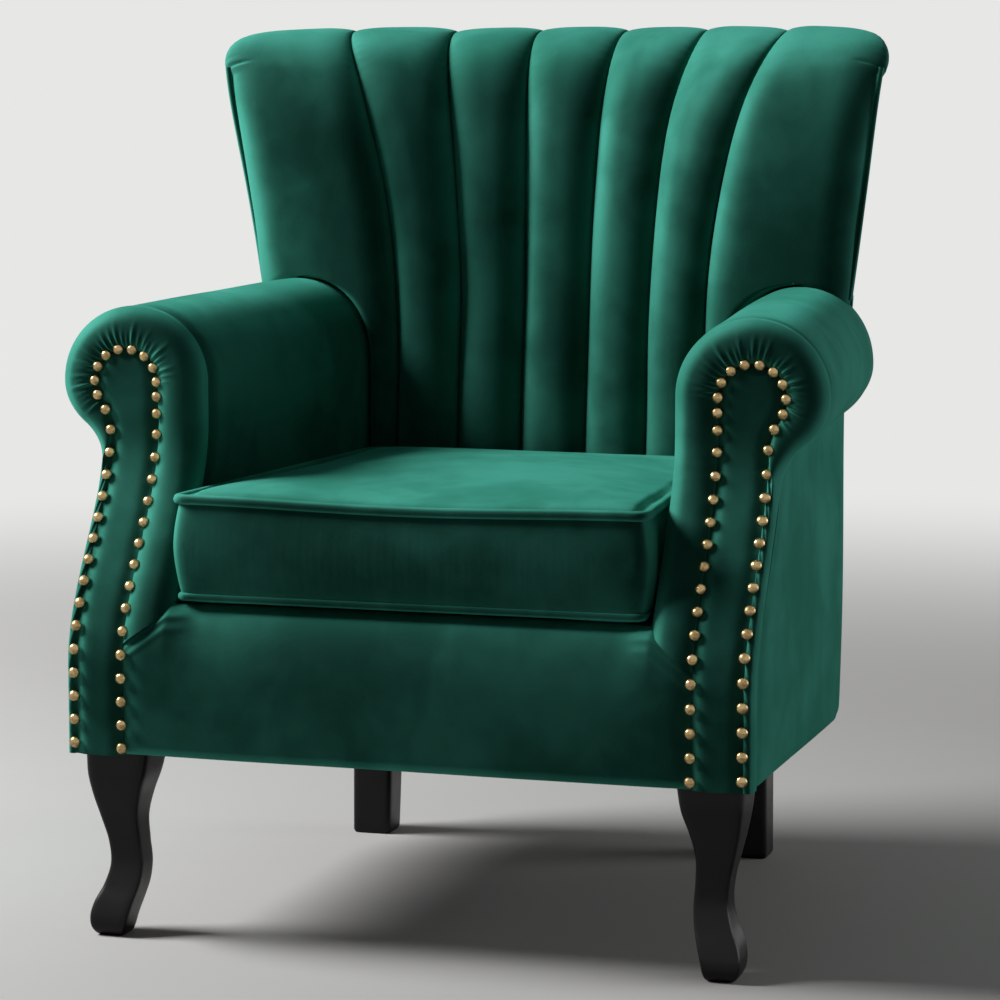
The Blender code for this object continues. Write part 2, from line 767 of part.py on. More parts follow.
def add_seat_deck(cloth):
    front = border_rear_y() + GAP
    rear = RAIL_REAR_Y - RAIL_THICK
    widest = arm_inner_x(ARM_FRONT_Y)
    corners = [(min(arm_inner_x(y), widest) - GAP, y) for y in (front, ARM_FRONT_Y, rear)]
    outline = corners + [(-x, y) for x, y in reversed(corners)]
    add_prism("seat_deck", outline, DECK_TOP_Z - DECK_THICK, DECK_TOP_Z, cloth)


def add_front_border(velvet):
    """Padded front below the cushion, rolled over the front rail."""
    half = ROLL_X - ROLL_RADIUS - GAP
    rear, front = border_rear_y(), FRONT_Y + BORDER_SETBACK
    roll_low = RAIL_TOP_Z - BORDER_ROLL_START
    roll = DECK_TOP_Z - BORDER_TOP_CLEARANCE - roll_low
    section = [(RAIL_FRONT_Y - GAP, RAIL_TOP_Z + GAP), (RAIL_FRONT_Y - GAP, LEG_HEIGHT)]
    section += [(front + BORDER_HEM_DEPTH, LEG_HEIGHT), (front, LEG_HEIGHT + BORDER_HEM)]
    depth = rear - front
    for angle in range(0, 91, 15):
        a = math.radians(angle)
        y = front + depth * (1.0 - math.cos(a))
        section.append((y, roll_low + roll * math.sin(a)))
    section.append((rear, RAIL_TOP_Z + GAP))
    stations = [lerp(-half, half, t / 8) for t in range(9)]
    add_loft("front_border", [[(x, y, z) for y, z in section] for x in stations], velvet)


def add_dust_cover(cloth):
    """Black cloth under the seat, cut out round the legs."""
    low = LEG_HEIGHT - DUST_COVER_THICK
    front_in = FRONT_LEG_X - FRONT_LEG_PROFILE[-1][3] - DUST_COVER_MARGIN
    front_back = FRONT_LEG_Y + FRONT_LEG_PROFILE[-1][3] + DUST_COVER_MARGIN
    rear_front = REAR_LEG_Y - REAR_LEG_TOP / 2 - DUST_COVER_MARGIN
    rear_in = REAR_LEG_X - REAR_LEG_TOP / 2 - DUST_COVER_MARGIN
    wide = SIDE_X - PANEL_THICK - DUST_COVER_MARGIN
    half = [
        (front_in, RAIL_FRONT_Y + DUST_COVER_MARGIN),
        (front_in, front_back),
        (wide, front_back),
        (wide, SIDE_BEND_Y),
        (side_x(rear_front, LEG_HEIGHT) - PANEL_THICK - DUST_COVER_MARGIN, rear_front),
        (rear_in, rear_front),
        (rear_in, RAIL_REAR_Y + RAIL_THICK),
    ]
    outline = half + [(-x, y) for x, y in reversed(half)]
    add_prism("dust_cover", outline, low, LEG_HEIGHT, cloth)


# Loose seat cushion


def cushion_outline():
    """Points and outward normals of the cushion plan, wider at the front."""
    front, rear = CUSHION_FRONT_Y, CUSHION_REAR_Y
    wide = arm_inner_x(ARM_FRONT_Y) - CUSHION_CLEARANCE
    narrow = arm_inner_x(rear) - CUSHION_CLEARANCE
    corners = (
        (wide, front, CUSHION_FRONT_ROUND, -90),
        (narrow, rear, CUSHION_REAR_ROUND, 0),
        (-narrow, rear, CUSHION_REAR_ROUND, 90),
        (-wide, front, CUSHION_FRONT_ROUND, 180),
    )
    points, normals = [], []
    for x, y, radius, start in corners:
        center = Vector((x - math.copysign(radius, x), y - math.copysign(radius, y - 0.5 * (front + rear))))
        for i in range(6):
            a = math.radians(start + 18 * i)
            normal = Vector((math.cos(a), math.sin(a)))
            points.append(center + radius * normal)
            normals.append(normal)
    return fill_edges(points, normals)


def fill_edges(points, normals):
    """Adds points along the straight edges between the rounded corners."""
    full, directions = [], []
    for i, point in enumerate(points):
        j = (i + 1) % len(points)
        full.append(point)
        directions.append(normals[i])
        if (points[j] - point).length > 0.1:
            for t in (0.2, 0.4, 0.6, 0.8):
                full.append(point.lerp(points[j], t))
                directions.append(normals[i].lerp(normals[j], t).normalized())
    return full, directions


def add_seat_cushion(velvet, pivot):
    points, normals = cushion_outline()
    top = CUSHION_BOXING
    center = sum(points, Vector((0.0, 0.0))) / len(points)
    shelf = WELT_HEIGHT - WELT_REACH
    shoulder = top + WELT_REACH
    rings = [[center.lerp(p, 0.5).to_3d() for p in points]]
    edges = [(CUSHION_UNDER_ROUND, 0.0), (CUSHION_UNDER_LIP, shelf)]
    edges += [(WELT_GROOVE, WELT_HEIGHT), (CUSHION_LIP, WELT_HEIGHT + WELT_REACH)]
    edges += [(0.0, top * 0.35), (0.0, top * 0.65), (CUSHION_LIP, top - WELT_REACH)]
    edges += [(WELT_GROOVE, top), (CUSHION_LIP, shoulder)]
    for inset, z in edges:
        rings.append([(*(p - n * inset), z) for p, n in zip(points, normals)])
    for scale in (0.90, 0.78, 0.62, 0.44, 0.24, 0.08):
        z = shoulder + (CUSHION_CROWN - WELT_REACH) * (1.0 - scale**CROWN_POWER)
        rings.append([(*center.lerp(p, scale), z) for p in points])
    cushion = add_loft("seat_cushion", rings, velvet)
    cushion.parent = pivot
    for name, z in (("lower_cushion_welt", WELT_HEIGHT), ("upper_cushion_welt", top)):
        line = [(*(p - n * WELT_INSET), z) for p, n in zip(points, normals)]
        welt = add_wire(name, line, WELT_RADIUS, 1, True, velvet)
        welt.parent = pivot


# Arm upholstery


def roll_section(y, inset=0.0):
    """Arm roll cut across, as (x, z) points from its inner foot over the top to the neck."""
    radius = ROLL_RADIUS - inset
    inner = arm_inner_x(y) + inset
    outer = roll_outer_center(y)
    neck_x, neck_z, angle = neck(y)
    section = [(inner, ROLL_FOOT_Z)]
    section += arc((inner + radius, ROLL_Z), radius, 180, 90, 7)
    section += [(x, under_roll(z)) for x, z in arc((outer, ROLL_Z), radius, 85, angle, 13)]
    foot = neck_x - PANEL_THICK - 2 * NECK_CLEARANCE
    section += [(foot, neck_z), (foot, ROLL_FOOT_Z)]
    return section


def add_arm_rolls(velvet):
    front = ARM_FRONT_Y + BAND_DEPTH + GAP
    stations = [lerp(front, ARM_END_Y - ROLL_END_ROUND, t / 7) for t in range(8)]
    for name, side in SIDES:
        sections = [(y, roll_section(y)) for y in stations]
        rings = [[(side * x, y, z) for x, z in section] for y, section in sections]
        end = roll_section(ARM_END_Y, ROLL_END_ROUND)
        rings.append([(side * x, ARM_END_Y, z) for x, z in end])
        add_loft(f"{name}_arm_roll", rings, velvet)


def add_inside_arms(velvet):
    levels = front_levels(RAIL_TOP_Z + GAP, ROLL_FOOT_Z - GAP)
    for name, side in SIDES:
        rings = []
        for z in levels:
            inner, outer = [], []
            for y in (behind_band_y(z), ARM_END_Y):
                x = arm_inner_x(y)
                inner.append((side * x, y, z))
                outer.append((side * (x + PAD_THICK), y, z))
            rings.append(inner + outer[::-1])
        add_loft(f"{name}_inside_arm", rings, velvet)


def add_outside_arms(velvet):
    shares = [t / 8 for t in range(9)]
    lowest_top = neck(ARM_FRONT_Y)[1] - PANEL_TOP_ROW
    levels = front_levels(LEG_HEIGHT, lowest_top)[:-1] + [None]
    for name, side in SIDES:
        rings = []
        for share in shares:
            outer, inner = [], []
            for level in levels:
                x, y, z = outside_arm_point(share, level)
                outer.append((side * x, y, z))
                inner.append((side * (x - PANEL_THICK), y, z))
            rings.append(outer + inner[::-1])
        add_loft(f"{name}_outside_arm", rings, velvet)


def outside_arm_point(share, level):
    """Point of the outside arm: share along its length, at a level or on its top edge."""
    near_z = level or ROLL_FOOT_Z
    rear = outside_back_column(len(BACK_SEAMS), near_z).y - PANEL_THICK - FRAME_CLEARANCE
    if share < 0.5:
        y = lerp(behind_band_y(near_z), SIDE_BEND_Y, 2.0 * share)
    else:
        y = lerp(SIDE_BEND_Y, rear, 2.0 * share - 1.0)
    z = level or neck(min(y, ARM_END_Y))[1] - NECK_CLEARANCE
    return side_x(y, z), y, z


def band_width(line, index, point):
    """Distance of a point of the rim from the nail line beside it."""
    (ax, az), (bx, bz) = line[max(index - 1, 0)], line[min(index + 1, len(line) - 1)]
    x, z = point[0] - line[index][0], point[1] - line[index][1]
    return abs((bx - ax) * z - (bz - az) * x) / math.hypot(bx - ax, bz - az)


def add_arm_bands(velvet):
    """Band gathered round the arm front, from the nails out to the rim and back."""
    inner = nail_outline(GAP / 2)
    outer = arm_outline()
    for name, side in SIDES:
        rings = []
        for index, ((ix, iz), (ox, oz)) in enumerate(zip(inner, outer)):
            width = band_width(inner, index, (ox, oz))
            flat = min(NAIL_FLAT / width, 0.7)
            bulge = BAND_BULGE * min(max(width / (2.0 * NAIL_FLAT) - 1.0, 0.0), 1.0)
            profile = (
                (0.0, SEAM_DEPTH),
                (flat, SEAM_DEPTH),
                (lerp(flat, 1.0, 0.35), SEAM_DEPTH - bulge),
                (lerp(flat, 1.0, 0.75), 2 * SEAM_DEPTH - bulge),
                (lerp(flat, 1.0, 0.93), 0.004),
                (1.0, BAND_RIM),
                (1.0, BAND_DEPTH),
                (0.0, BAND_DEPTH),
            )
            ring = []
            for share, depth in profile:
                z = lerp(iz, oz, share)
                ring.append((side * lerp(ix, ox, share), front_y(z) + depth, z))
            rings.append(ring)
        add_loft(f"{name}_arm_band", rings, velvet)


def add_arm_facings(velvet):
    """Padded facing inside the nails, in pairs of points on its two edges."""
    outline = nail_outline(-GAP / 2)
    crown = max(range(len(outline)), key=lambda i: outline[i][1])
    inner = [(z, x) for x, z in outline[: crown + 1]]
    outer = [(z, x) for x, z in outline[: crown - 1 : -1]]
    levels = sorted({round(z, 6) for z, x in inner + outer})[:-1]
    for name, side in SIDES:
        rings = [facing_ring(side, between(inner, z), between(outer, z), z) for z in levels]
        add_loft(f"{name}_arm_facing", rings, velvet)


def facing_ring(side, inner_x, outer_x, z):
    width = outer_x - inner_x
    edge = min(NAIL_FLAT / width, 0.4)
    bulge = FACING_BULGE * max(1.0 - 2.2 * NAIL_FLAT / width, 0.0)
    profile = ((0.0, BAND_DEPTH), (0.0, SEAM_DEPTH), (edge, SEAM_DEPTH), (0.5, SEAM_DEPTH - bulge))
    profile += ((1.0 - edge, SEAM_DEPTH), (1.0, SEAM_DEPTH), (1.0, BAND_DEPTH))
    y = front_y(z)
    return [(side * lerp(inner_x, outer_x, share), y + depth, z) for share, depth in profile]


def nail_line():
    """Nail path from the top of the arch down each side, as two lists of points."""
    outline = nail_outline(0.0)
    crown = max(range(len(outline)), key=lambda i: outline[i][1])
    points = [Vector((x, front_y(z), z)) for x, z in outline]
    top = Vector((NAIL_HEAD_X, front_y(ROLL_Z + NAIL_HEAD_ARCH), ROLL_Z + NAIL_HEAD_ARCH))
    return [top] + points[crown - 1 :: -1], [top] + points[crown + 1 :]


def walk(line, distance):
    """Point at a distance along a line, or None past its end."""
    for a, b in zip(line, line[1:]):
        length = (b - a).length
        if distance <= length:
            return a.lerp(b, distance / length)
        distance -= length
    return None


def nail_places():
    """Nail centres from the inner foot over the arch to the outer foot."""
    sides = []
    for line in nail_line():
        places, distance = [], NAIL_STEP_ARCH / 2
        for i in range(NAILS_PER_SIDE):
            place = walk(line, distance)
            if place is None or place.z < LEG_HEIGHT + NAIL_RADIUS:
                break
            places.append(place)
            blend = ease((i + 1 - NAILS_IN_ARCH) / 3)
            distance += lerp(NAIL_STEP_ARCH, NAIL_STEP_COLUMN, blend)
        sides.append(places)
    return sides[0][::-1] + sides[1]


def add_nail(bm, places, index):
    """Low six-sided head square to the arm front; returns its edges towards both neighbours."""
    place = places[index]
    slope = front_slope(place.z)
    out = Vector((0.0, -1.0, slope)).normalized()
    along = places[min(index + 1, len(places) - 1)] - places[max(index - 1, 0)]
    along = (along - out * along.dot(out)).normalized()
    across = along.cross(out)
    center = place + out * NAIL_SEAT
    rings = []
    for share, height in ((1.0, 0.0), (1.0, NAIL_RIM), (NAIL_CROWN_SHARE, NAIL_HEIGHT)):
        ring = []
        for turn in (-30, 30, 90, 150, 210, 270):
            a = math.radians(turn)
            flat = along * math.cos(a) + across * math.sin(a)
            ring.append(bm.verts.new(center + flat * NAIL_RADIUS * share + out * height))
        rings.append(ring)
    base, rim, crown = rings
    bm.faces.new(base)
    bm.faces.new(crown)
    first, last = index == 0, index == len(places) - 1
    for i in range(6):
        j = (i + 1) % 6
        bm.faces.new((rim[i], rim[j], crown[j], crown[i]))
        if (i == 0 and not last) or (i == 3 and not first):
            continue
        bm.faces.new((base[i], base[j], rim[j], rim[i]))
    return (base[4], base[3], rim[3], rim[4]), (base[0], base[1], rim[1], rim[0])


def add_nailhead_trims(brass):
    """Strip of nail heads round each facing, one piece per arm."""
    for name, side in SIDES:
        bm = bmesh.new()
        places = nail_places()
        ends = [add_nail(bm, places, i) for i in range(len(places))]
        for (_, start), (end, _) in zip(ends, ends[1:]):
            for i in range(4):
                j = (i + 1) % 4
                bm.faces.new((start[i], start[j], end[j], end[i]))
        bmesh.ops.scale(bm, vec=(side, 1.0, 1.0), verts=bm.verts)
        add_mesh(f"{name}_nailhead_trim", bm, brass)


# Back upholstery


def add_channels(velvet):
    """Seven upright channels that fan out to the crest and roll over it."""
    last = len(BACK_SEAMS)
    seams = [(-1, i) for i in range(last, -1, -1)] + [(1, i) for i in range(last + 1)]
    for number, (near, far) in enumerate(zip(seams, seams[1:]), 1):
        wing = last in (near[1], far[1])
        rings = channel_rings(near, far, WING_BULGE if wing else CHANNEL_BULGE)
        channel = add_loft(f"back_channel_{number}", rings, velvet, turned=(0,))
        if wing:
            side = -1 if number == 1 else 1
            cut(channel, add_arm_space(f"arm_space_{number}", side, velvet))


def channel_rings(near, far, bulge):
    """Cross-sections of one channel between two seams, from the deck up over the crest."""
    lines = []
    for (side, seam), shift in ((near, GAP / 2), (far, -GAP / 2)):
        mirror = Vector((side, 1.0, 1.0))
        step = Vector((shift, 0.0, 0.0))
        lines.append([(angle, p * mirror + step, q * mirror + step) for angle, p, q in seam_path(seam)])
    rings = []
    for (angle, a, a_in), (_, b, b_in) in zip(*lines):
        turn = math.radians(angle)
        across = (b - a).normalized()
        rise = bulge * lerp(1.0, CREST_BULGE_SHARE, ease(angle / 90))
        out = Vector((across.y * math.cos(turn), -across.x * math.cos(turn), math.sin(turn)))
        ring = [a_in, a]
        for t in (0.08, 0.22, 0.36, 0.5, 0.64, 0.78, 0.92):
            ring.append(a.lerp(b, t) + out * rise * math.sin(math.pi * t) ** BULGE_POWER)
        rings.append(ring + [b, b_in])
    return rings


def add_arm_space(name, side, material):
    """Room that the arm takes out of the wing channel."""
    rings = []
    for y in (ARM_FRONT_Y, ARM_FRONT_Y + 0.5 * (ARM_END_Y - ARM_FRONT_Y), ARM_END_Y + 0.1):
        inner = arm_inner_x(y) - 2 * GAP
        radius = ROLL_RADIUS + 2 * GAP
        wide = SIDE_X + ROLL_RADIUS
        section = [(inner, LEG_HEIGHT)] + arc((inner + radius, ROLL_Z), radius, 180, 90, 7)
        section += [(wide, ROLL_Z + radius), (wide, LEG_HEIGHT)]
        rings.append([(side * x, y, z) for x, z in section])
    return add_loft(name, rings, material)


def add_outside_back(velvet):
    columns = range(len(BACK_SEAMS) + 1)
    order = [(-1, i) for i in reversed(columns)] + [(1, i) for i in columns]
    rings = []
    for t in range(7):
        z = lerp(LEG_HEIGHT, CREST_REAR_Z - GAP, t / 6)
        outer = [(side * outside_back_column(i, z).x, outside_back_column(i, z).y, z) for side, i in order]
        inner = [(x, y - PANEL_THICK, z) for x, y, z in outer]
        for end in (0, -1):
            x, y, z = inner[end]
            inner[end] = (x - math.copysign(PANEL_THICK / 2, x), y, z)
        rings.append(outer + inner[::-1])
    add_loft("outside_back", rings, velvet)


def add_outside_wings(velvet):
    """Boxing down the outside of each wing, behind the rear end of the arm roll."""
    wing = len(BACK_SEAMS)
    arm_top = ROLL_Z + ROLL_RADIUS
    low = neck(ARM_END_Y)[1]
    levels = [low, lerp(low, arm_top, 0.5), arm_top, arm_top + WING_STEP]
    levels += [lerp(arm_top + WING_STEP, CREST_START_Z, t) for t in (0.33, 0.66, 1.0)]
    rows = []
    for z in levels:
        rear = outside_back_column(wing, z)
        if z <= arm_top:
            front = Vector((side_x(ARM_END_Y, z), ARM_END_Y + GAP, z))
        else:
            front = Vector((seam_x(wing, z), seam_y(wing, z), z))
        rows.append((front, rear))
    for angle in CREST_ANGLES[:-1]:
        front = crest_point(wing, angle)
        rows.append((front, outside_back_column(wing, min(front.z, CREST_REAR_Z - 2 * GAP))))
    for name, side in SIDES:
        rings = []
        for front, rear in rows:
            middle = front.lerp(rear, 0.5)
            line = [p + Vector((2 * GAP, 0.0, 0.0)) for p in (front, middle, rear)]
            near = [(side * p.x, p.y, p.z) for p in line]
            far = [(x + side * PANEL_THICK, y, z) for x, y, z in near]
            rings.append(near + far[::-1])
        add_loft(f"{name}_outside_wing", rings, velvet)


def main():
    for obj in list(bpy.data.objects):
        bpy.data.objects.remove(obj, do_unlink=True)
    velvet = make_material("green_velvet", (0.010, 0.110, 0.070), 0.75)
    black = make_material("black_lacquer", (0.012, 0.012, 0.013), 0.35)
    wood = make_material("beech_frame", (0.52, 0.36, 0.20), 0.60)
    brass = make_material("antique_brass", (0.42, 0.28, 0.12), 0.35, 1.0)
    steel = make_material("zinc_steel", (0.55, 0.55, 0.56), 0.35, 1.0)
    cloth = make_material("dust_cloth", (0.015, 0.015, 0.016), 0.90)
    add_seat_frame(wood)
    add_corner_blocks(wood)
    add_legs(black)
    add_bolts(steel)
    add_arm_frame(wood)
    add_back_frame(wood)
    add_wing_bars(wood)
    add_springs(steel)
    add_seat_deck(velvet)
    add_front_border(velvet)
    add_dust_cover(cloth)
    pivot = bpy.data.objects.new("cushion_seat", None)
    pivot.location = (0.0, 0.0, DECK_TOP_Z + GAP)
    bpy.context.collection.objects.link(pivot)
    add_seat_cushion(velvet, pivot)
    add_arm_rolls(velvet)
    add_inside_arms(velvet)
    add_outside_arms(velvet)
    add_arm_bands(velvet)
    add_arm_facings(velvet)
    add_nailhead_trims(brass)
    add_channels(velvet)
    add_outside_back(velvet)
    add_outside_wings(velvet)


main()
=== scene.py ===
import json
import math

import bpy
import numpy as np
from mathutils import Matrix, Vector


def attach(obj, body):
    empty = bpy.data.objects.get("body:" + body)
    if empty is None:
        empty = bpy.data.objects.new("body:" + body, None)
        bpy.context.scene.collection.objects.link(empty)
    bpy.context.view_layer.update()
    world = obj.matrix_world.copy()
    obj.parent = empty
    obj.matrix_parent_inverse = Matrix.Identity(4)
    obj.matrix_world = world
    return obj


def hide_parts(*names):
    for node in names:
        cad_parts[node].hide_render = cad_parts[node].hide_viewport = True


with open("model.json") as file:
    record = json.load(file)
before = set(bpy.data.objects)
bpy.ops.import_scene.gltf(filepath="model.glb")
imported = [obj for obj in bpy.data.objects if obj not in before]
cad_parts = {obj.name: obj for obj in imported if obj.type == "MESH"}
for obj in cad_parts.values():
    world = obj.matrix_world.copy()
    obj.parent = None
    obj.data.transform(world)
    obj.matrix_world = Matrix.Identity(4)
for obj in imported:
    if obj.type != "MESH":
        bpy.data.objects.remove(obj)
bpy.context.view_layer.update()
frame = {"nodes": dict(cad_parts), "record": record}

bothSides = (("left", -1.0), ("right", 1.0))

# lines that several covers share, in metres
chair = {
    "legTop": 0.185, "railTop": 0.270, "deckTop": 0.3335,
    "sideX": 0.3425, "frontY": -0.338, "armFrontY": -0.239, "armEndY": 0.190,
    "sweepLow": 0.272, "sweepHigh": 0.501,
    "rollX": 0.3135, "rollZ": 0.541, "rollRadius": 0.0745, "rollFoot": 0.496, "underShare": 0.8, "rearRise": 0.008,
    "innerTaper": 0.095, "outerTaper": 0.080, "rollTuck": 0.004,
    "bandDepth": 0.028, "clear": 0.0015,
    "backLow": 0.467, "crestStart": 0.755, "crestTop": 0.896, "crestRear": 0.840,
    "crestBack": 0.0219, "cornerRound": 0.030,
    "seams": ((0.037, 0.049, 0.1930, 0.041, 0.082), (0.106, 0.145, 0.1800, 0.039, 0.082),
              (0.171, 0.247, 0.1715, 0.003, 0.075)),
    "wingX": (0.303, 0.365), "wingY": 0.1755, "wingForward": 0.110, "wingStart": 0.36,
    "wingDepth": 0.060, "wingRise": 0.129, "crestRise": 0.134, "wingRearInset": 0.024, "crestSquare": 0.82,
    "cornerWrap": 0.0066, "wrapLow": 0.836, "wrapHigh": 0.852,
    "backFoot": ((0.030, 0.272), (0.100, 0.271), (0.165, 0.268), (0.262, 0.258)),
    "bendY": 0.050, "bendPower": 1.6,
}
wing = 3  # seam number of the wing edge


def lerp(a, b, t):
    return a + (b - a) * t


def clamp(t):
    return np.clip(t, 0.0, 1.0)


def arch(t):  # up from 0 and down again over a share of 0 to 1
    return np.sin(math.pi * t)


def ease(t):
    t = clamp(t)
    return t * t * (3.0 - 2.0 * t)


def bell(x):
    return np.exp(-x * x)


def hermite(a, b, slopeA, slopeB, width, t):  # smooth curve between two points with given slopes
    return (a * (2 * t ** 3 - 3 * t ** 2 + 1) + b * (3 * t ** 2 - 2 * t ** 3)
            + slopeA * width * (t ** 3 - 2 * t ** 2 + t) + slopeB * width * (t ** 3 - t ** 2))


def sample(at, stops, rows):  # rows of points read off between their stops
    return np.stack([np.interp(at, stops, column) for column in rows.T], axis=-1)


def runLength(line):
    return np.r_[0.0, np.cumsum(np.linalg.norm(np.diff(line, axis=0), axis=1))]


def stack(x, y, z):
    return np.stack(np.broadcast_arrays(x, y, z), axis=-1).astype(float)


def frontY(z):  # arm front, upright below and swept back to the roll
    span = chair["sweepHigh"] - chair["sweepLow"]
    return chair["frontY"] + (chair["armFrontY"] - chair["frontY"]) * ease((z - chair["sweepLow"]) / span)


def behindBand(z):  # where the arm's covers start
    return frontY(z) + chair["bandDepth"] + chair["clear"]


def armInnerX(y):
    return chair["rollX"] - chair["rollRadius"] - chair["innerTaper"] * (y - chair["armFrontY"])


def rollOuterX(y):
    tuck = chair["rollTuck"] * ease((y - chair["armEndY"] + 0.090) / 0.090)
    return chair["rollX"] - chair["outerTaper"] * np.maximum(y - chair["armFrontY"], 0.0) - tuck


def rollLift(y):  # the roll gets a little taller towards the back
    return chair["rearRise"] * ease((y - chair["armFrontY"]) / (chair["armEndY"] - chair["armFrontY"]))


def underRoll(z):  # the underside of the roll is flatter than its top
    below = np.minimum(z - chair["rollZ"], 0.0)
    return z - below * (1.0 - chair["underShare"])


def backShare(z):
    return (z - chair["backLow"]) / (chair["crestTop"] - chair["backLow"])


def seamX(seam, z):
    share = clamp(backShare(z))
    if seam == wing:
        return lerp(*chair["wingX"], share)
    return lerp(*chair["seams"][seam][:2], share ** 3)


def seamY(seam, z):
    share = backShare(z)
    if seam == wing:
        return chair["wingY"] - chair["wingForward"] * np.maximum(share - chair["wingStart"], 0.0) ** 2
    return chair["seams"][seam][2] + chair["seams"][seam][3] * share


def crestPoint(seam, angle):  # 0 where the crest leaves the back, 90 on top, 180 at its rear edge
    angle = np.asarray(angle, float)
    a = np.radians(angle)
    depth = chair["wingDepth"] if seam == wing else chair["seams"][seam][4]
    rise = chair["wingRise"] if seam == wing else chair["crestRise"]
    peak = chair["crestStart"] + rise
    up, over = (np.maximum(wave(a), 0.0) ** chair["crestSquare"] for wave in (np.sin, np.cos))  # fuller than round
    z = np.where(angle <= 90, chair["crestStart"] + rise * up,
                 peak + (peak - chair["crestRear"]) * (np.sin(a) - 1.0))
    y = np.where(angle <= 90, seamY(seam, z) + depth * (1.0 - over),
                 seamY(seam, peak) + depth - chair["crestBack"] * np.cos(a))
    x = np.where(angle <= 90, seamX(seam, z), seamX(seam, peak))
    if seam == wing:
        climb = clamp((z - peak) / chair["cornerRound"] + 1.0)
        corner = chair["cornerRound"] * (1.0 - np.sqrt(1.0 - climb ** 2))
        rear = lerp(chair["cornerRound"], chair["wingRearInset"], ease((angle - 90.0) / 90.0))
        x = x - np.where(angle <= 90, corner, rear)
    return stack(x, y, z)


def outsideColumn(seam, z):
    low = np.array([*chair["backFoot"][seam], chair["legTop"]])
    high = crestPoint(seam, 180.0)
    share = (np.asarray(z, float) - low[2]) / (high[2] - low[2])
    return low + (high - low) * share[..., None]


def sideX(y, z):
    corner = outsideColumn(wing, z)
    along = np.maximum(y - chair["bendY"], 0.0) / (corner[..., 1] - chair["bendY"])
    return lerp(chair["sideX"], corner[..., 0], along ** chair["bendPower"])


def neck(y):  # where the underside of the roll meets the chair side: x, z, angle
    x = sideX(y, np.full_like(y, chair["rollFoot"]))
    angle = -np.arccos(np.clip((x - rollOuterX(y)) / chair["rollRadius"], -1.0, 1.0))
    return x, underRoll(chair["rollZ"] + chair["rollRadius"] * np.sin(angle)), angle


def ripple(points, scale, seed):  # soft unevenness, the same on each run
    rng = np.random.default_rng(seed)
    total = np.zeros(len(points))
    for _ in range(7):
        direction = rng.normal(size=3)
        direction *= scale * rng.uniform(0.55, 1.5) / np.linalg.norm(direction)
        total += np.sin(points @ direction + rng.uniform(0.0, 2.0 * math.pi))
    return total / math.sqrt(7.0)


# mesh steps that each cover goes through


def pick(obj):
    if bpy.context.mode != "OBJECT":
        bpy.ops.object.mode_set(mode="OBJECT")
    bpy.ops.object.select_all(action="DESELECT")
    obj.select_set(True)
    bpy.context.view_layer.objects.active = obj


def points(obj, field="co"):
    found = np.empty(len(obj.data.vertices) * 3)
    obj.data.vertices.foreach_get(field, found)
    return found.reshape(-1, 3)


def setPoints(obj, places):
    obj.data.vertices.foreach_set("co", np.ascontiguousarray(places, float).ravel())
    obj.data.update()


def sheetOf(name, columns, rows, shape):  # a grid laid over a surface given by its two shares
    bpy.ops.object.select_all(action="DESELECT")
    bpy.ops.mesh.primitive_grid_add(x_subdivisions=columns, y_subdivisions=rows, size=2.0)
    obj = bpy.context.object
    obj.name = obj.data.name = name
    flat = points(obj)
    setPoints(obj, shape((flat[:, 0] + 1.0) / 2.0, (flat[:, 1] + 1.0) / 2.0))
    return obj


def turnOut(obj, sew):
    pick(obj)
    bpy.ops.object.mode_set(mode="EDIT")
    bpy.ops.mesh.select_all(action="SELECT")
    if sew:
        bpy.ops.mesh.remove_doubles(threshold=0.00002)
        bpy.ops.mesh.fill_holes(sides=0)
    bpy.ops.mesh.normals_make_consistent(inside=False)
    bpy.ops.object.mode_set(mode="OBJECT")


def closeUp(obj, crease=60.0):  # sews the long edge, caps open ends, turns faces out
    turnOut(obj, True)
    bpy.ops.object.shade_smooth_by_angle(angle=math.radians(crease))
    return obj


def thicken(obj, thickness):
    turnOut(obj, False)
    wall = obj.modifiers.new("wall", "SOLIDIFY")
    wall.thickness, wall.offset = thickness, -1.0
    bpy.ops.object.modifier_apply(modifier="wall")
    bpy.ops.object.shade_smooth_by_angle(angle=math.radians(60.0))
    return obj


def roughUp(obj, amount, scale, seed):
    waves = ripple(points(obj), scale, seed) * amount
    setPoints(obj, points(obj) + points(obj, "normal") * waves[:, None])


def cordAlong(name, line, radius, cyclic=False):  # piping sewn along a line
    curve = bpy.data.curves.new(name, "CURVE")
    curve.dimensions = "3D"
    curve.bevel_depth, curve.bevel_resolution, curve.use_fill_caps = radius, 4, True
    spline = curve.splines.new("POLY")
    spline.points.add(len(line) - 1)
    spline.points.foreach_set("co", np.c_[line, np.ones(len(line))].ravel())
    spline.use_cyclic_u = cyclic
    obj = bpy.data.objects.new(name, curve)
    bpy.context.collection.objects.link(obj)
    pick(obj)
    bpy.ops.object.convert(target="MESH")
    return closeUp(bpy.context.object)


def paintShade(obj, share):  # painted shade: a share per point that holds back the velvet's painted sheen, so the surface renders darker there
    field = obj.data.attributes.new("paintedShade", "FLOAT", "POINT")
    field.data.foreach_set("value", np.ascontiguousarray(share, dtype=np.float32))


def dress(obj, material, body, *nodes, slot="green_velvet"):
    obj.data.materials.clear()
    obj.data.materials.append(material)
    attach(obj, body)
    if nodes:
        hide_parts(*nodes)
    return obj


# shader maths written as maths


